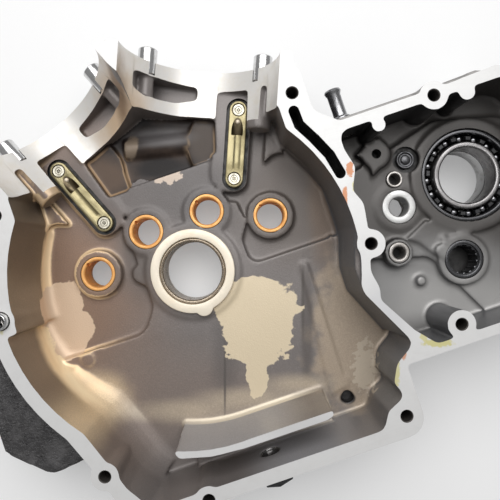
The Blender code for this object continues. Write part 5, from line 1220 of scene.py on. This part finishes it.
def make_drive_bearing():
    """Ball bearing of the gearbox output shaft, with its snap cage, spacer and seal."""
    low, top, middle, track = BEARING_LOW, BEARING_TOP, 0.0425, 0.02545
    arc = track_arc(track, 0.0037, 0.0226, middle)
    inner = [(0.01875, low + 0.0006), (0.0194, low), (0.0218, low), (0.0226, low + 0.0008), *arc]
    inner += [(0.0226, top - 0.0008), (0.0218, top), (0.0196, top), (0.01875, top - 0.0009)]
    turned_piece("drive_bearing_inner_ring", inner, BEARING_AT, INNER_RING_STEEL, body="drive_ring", edge=0.00012)
    outer = [(0.0283, low), (0.0302, low), (0.031, low + 0.0008), (0.031, top - 0.0008), (0.0302, top), (0.0287, top)]
    outer += [(0.0283, top - 0.0004), *[(2 * track - radius, z) for radius, z in reversed(arc)]]
    turned_piece("drive_bearing_outer_ring", outer, BEARING_AT, RING_STEEL, edge=0.00012)
    cage_low, cage_top = middle - 0.0052, middle + 0.005
    profile = tube_profile(track - 0.0013, track + 0.0013, cage_low, cage_top, 0.0003, 0.0003)
    cage = tool("drive_bearing_cage_fine", [CAGE], (turned, profile, BEARING_AT, 128))
    pockets, balls = bmesh.new(), bmesh.new()
    for index in range(16):
        turn = math.radians(22.5 * (index + 0.5))
        place = Vector((BEARING_AT[0] + track * math.cos(turn), BEARING_AT[1] + track * math.sin(turn), middle))
        cylinder(pockets, place, 0.0035, middle - 0.0006, cage_top + 0.002, 24)
        made = bmesh.ops.create_uvsphere(balls, u_segments=28, v_segments=18, radius=0.0034)["verts"]
        bmesh.ops.translate(balls, verts=made, vec=place)
    cut(cage, [scratch_object("pockets", pockets, [CAGE])])
    place_piece(cage, "drive_cage", ["drive_bearing_cage_and_balls"])
    piece("drive_bearing_balls", balls, SHADED_BALL_STEEL, "drive_cage", angle=60)
    spacer = tube_profile(0.01875, 0.0228, 0.0197, 0.0342, 0.0006, 0.0006)
    turned_piece("output_shaft_spacer", spacer, BEARING_AT, STEEL, body="drive_ring")
    seal = [
        (0.0234, 0.0128), (0.0242, 0.012), (0.0268, 0.012), (0.0272, 0.0124), (0.0272, 0.0186), (0.0268, 0.019),
        (0.0255, 0.019), (0.0253, 0.016), (0.0246, 0.016), (0.0244, 0.0178), (0.0236, 0.0178),
    ]
    turned_piece("output_shaft_seal", seal, BEARING_AT, RUBBER)


def make_needle_bearing():
    """Drawn cup with rolled lips, and the caged needles in it."""
    cup = [
        (0.0104, 0.0341), (0.0124, 0.0341), (0.0128, 0.0346), (0.0128, 0.052), (0.0124, 0.0525), (0.0106, 0.0525),
        (0.0104, 0.0522), (0.0104, 0.0513), (0.0116, 0.0513), (0.0116, 0.0353), (0.0104, 0.0353),
    ]
    turned_piece("needle_bearing_cup", cup, NEEDLE_AT, RING_STEEL)
    profile = tube_profile(0.00975, 0.01055, 0.0356, 0.051, 0.0001, 0.0001)
    cage = tool("needle_bearing_cage_fine", [DARK_STEEL], (turned, profile, NEEDLE_AT, 84))
    windows, needles = bmesh.new(), bmesh.new()
    for index in range(14):
        turn = math.radians(360 / 14 * index)
        place = (NEEDLE_AT[0] + 0.01015 * math.cos(turn), NEEDLE_AT[1] + 0.01015 * math.sin(turn))
        cylinder(windows, place, 0.00125, 0.0363, 0.0503, 16)
        cylinder(needles, place, 0.00112, 0.0364, 0.0502, 20)
    cut(cage, [scratch_object("windows", windows, [DARK_STEEL])])
    place_piece(cage, "needle_cage", ["needle_bearing_needles"])
    round_edges(needles, 0.0003, 2, 60)
    piece("needle_bearing_rollers", needles, RING_STEEL, "needle_cage")


def make_sleeves():
    """Plain sleeves of the shift gear, and the detent plug in its well."""
    for node_name, centre, finish, *sizes in (
        ("shift_shaft_bush", SHIFT_BUSH_AT, BUSH_STEEL, 0.0064, 0.0114, 0.0357, 0.0497, 0.0007, 0.0005),
        ("pivot_sleeve", PIVOT_SLEEVE_AT, SLEEVE_STEEL, 0.0037, 0.0054, 0.0391, 0.0511, 0.0004, 0.0003),
        ("fork_rail_sleeve", LOWER_SLEEVE_AT, SLEEVE_STEEL, 0.004, 0.007, 0.0424, 0.0564, 0.0008, 0.0005),
    ):
        turned_piece(node_name, tube_profile(*sizes), centre, finish)
    plug = [
        (0, 0.0403), (0.0047, 0.0403), (0.0047, 0.0463), (0.0062, 0.0463), (0.0062, 0.0486), (0.0057, 0.0491),
        (0.0048, 0.0491), (0.0044, 0.0482), (0.0032, 0.0482), (0.0028, 0.0494), (0, 0.0497),
    ]
    turned_piece("detent_plug", plug, PLUG_AT, DARK_STEEL)


def make_nipple():
    """Hose nipple on the gearbox roof: a collar below, a plain neck and a beaded mouth."""
    profile = [
        (0.003, -0.0035), (0.0036, -0.0035), (0.0036, 0.0), (0.0062, 0.0), (0.0062, 0.0029), (0.0058, 0.0034),
        (0.0047, 0.004), (0.0045, 0.006), (0.0045, 0.0184), (0.0053, 0.02), (0.0056, 0.021), (0.0052, 0.022),
        (0.0047, 0.0225), (0.0034, 0.0225), (0.003, 0.0221),
    ]
    bm = bmesh.new()
    turned(bm, profile, (0, 0), 80)
    round_edges(bm, 0.0002)
    turn = Matrix.Rotation(math.radians(-90), 4, "X")
    place = Matrix.Translation((NIPPLE_AT[0], NIPPLE_BASE_Y, NIPPLE_AT[1]))
    bmesh.ops.transform(bm, matrix=place @ turn, verts=bm.verts)
    piece("hose_nipple_fine", bm, NIPPLE_STEEL, "crankcase", ["hose_nipple"])


def make_drain():
    """Hexagon drain plug and its copper washer."""
    face = Matrix.Translation((DRAIN_AT[0], DRAIN_FACE_Y, DRAIN_AT[1])) @ Matrix.Rotation(math.radians(90), 4, "X")
    bm = bmesh.new()
    turned(bm, tube_profile(0.0068, 0.012, 0.0003, 0.0018, 0.0003, 0.0003), (0, 0), 72)
    bmesh.ops.transform(bm, matrix=face, verts=bm.verts)
    piece("drain_washer_fine", bm, COPPER, "crankcase", ["drain_washer"])
    bm = bmesh.new()
    cylinder(bm, (0, 0), 0.0105, 0.0021, 0.0081, 6)
    round_edges(bm, 0.0007, 3, 40)
    plug = scratch_object("drain_plug_fine", bm, [DARK_STEEL])
    shank = [(0, -0.01), (0.0058, -0.01), (0.0065, -0.0093), (0.0065, 0.004), (0, 0.004)]
    cut(plug, [tool("shank", [DARK_STEEL], (turned, shank, (0, 0), 48))], "UNION")
    plug.data.transform(face)
    place_piece(plug, "crankcase", ["drain_plug"])


# Stage


def paper_floor():
    """White paper under the engine, a little lit for the camera alone so that it stays white."""
    paper = bpy.data.materials.new("white paper")
    paper.use_nodes = True
    tree = paper.node_tree
    shader = tree.nodes["Principled BSDF"]
    shader.inputs["Base Color"].default_value = (0.96, 0.96, 0.96, 1)
    shader.inputs["Roughness"].default_value = 0.9
    glow = node(tree, "ShaderNodeEmission", Color=(1, 1, 1, 1), Strength=1.0)
    rays = tree.nodes.new("ShaderNodeLightPath")
    share = math_node(tree, "MULTIPLY", rays.outputs["Is Camera Ray"], 0.3)
    mixed = node(tree, "ShaderNodeMixShader", Fac=share, i1=shader.outputs[0], i2=glow.outputs[0])
    tree.links.new(mixed.outputs[0], tree.nodes["Material Output"].inputs["Surface"])
    bm = bmesh.new()
    bmesh.ops.create_grid(bm, x_segments=1, y_segments=1, size=4)
    bmesh.ops.translate(bm, verts=bm.verts, vec=(0, 0, -0.0004))
    mesh = bpy.data.meshes.new("paper_floor")
    bm.to_mesh(mesh)
    bm.free()
    mesh.materials.append(paper)
    new_object("paper_floor", mesh)


def studio_light():
    """Even white surround, a little brighter where the camera or gloss sees it."""
    world = bpy.data.worlds.new("studio")
    bpy.context.scene.world = world
    world.use_nodes = True
    tree = world.node_tree
    background = tree.nodes["Background"]
    background.inputs["Color"].default_value = (1, 1, 1, 1)
    rays = tree.nodes.new("ShaderNodeLightPath")
    seen = math_node(tree, "ADD", rays.outputs["Is Camera Ray"], rays.outputs["Is Glossy Ray"], True)
    level = node(tree, "ShaderNodeMapRange", Value=seen, To_Min=0.22, To_Max=0.3)
    tree.links.new(level.outputs[0], background.inputs["Strength"])


def make_stage():
    """Pale floor, soft overhead light from the engine's upper side and the camera square above the split face."""
    paper_floor()
    studio_light()
    centre = CRANK_AXIS + Vector((0.0421, 0.001, 0))
    picture_up = Vector((0.3223, 0.9466, 0))
    lamp = bpy.data.lights.new("window", "AREA")
    lamp.shape = "RECTANGLE"
    lamp.size = 1.0
    lamp.size_y = 0.8
    lamp.energy = 9.0
    window = new_object("window", lamp)
    window.location = centre + picture_up * 0.42 + Vector((0, 0, 0.85))
    window.rotation_euler = (centre - window.location).to_track_quat("-Z", "Y").to_euler()
    eye = bpy.data.cameras.new("camera")
    eye.sensor_width = 36
    eye.lens = 38.21
    camera = new_object("camera", eye)
    camera.location = centre + Vector((0, 0, SPLIT_Z + 0.32))
    camera.rotation_euler = (0, 0, -PHOTO_TURN)
    bpy.context.scene.camera = camera
    bpy.context.scene.view_settings.view_transform = "Standard"


make_casting()
make_bushes()
make_insert()
make_jet(1, "rear")
make_jet(-1, "front")
make_dowels()
make_drive_bearing()
make_needle_bearing()
make_sleeves()
make_nipple()
make_drain()
make_stage()
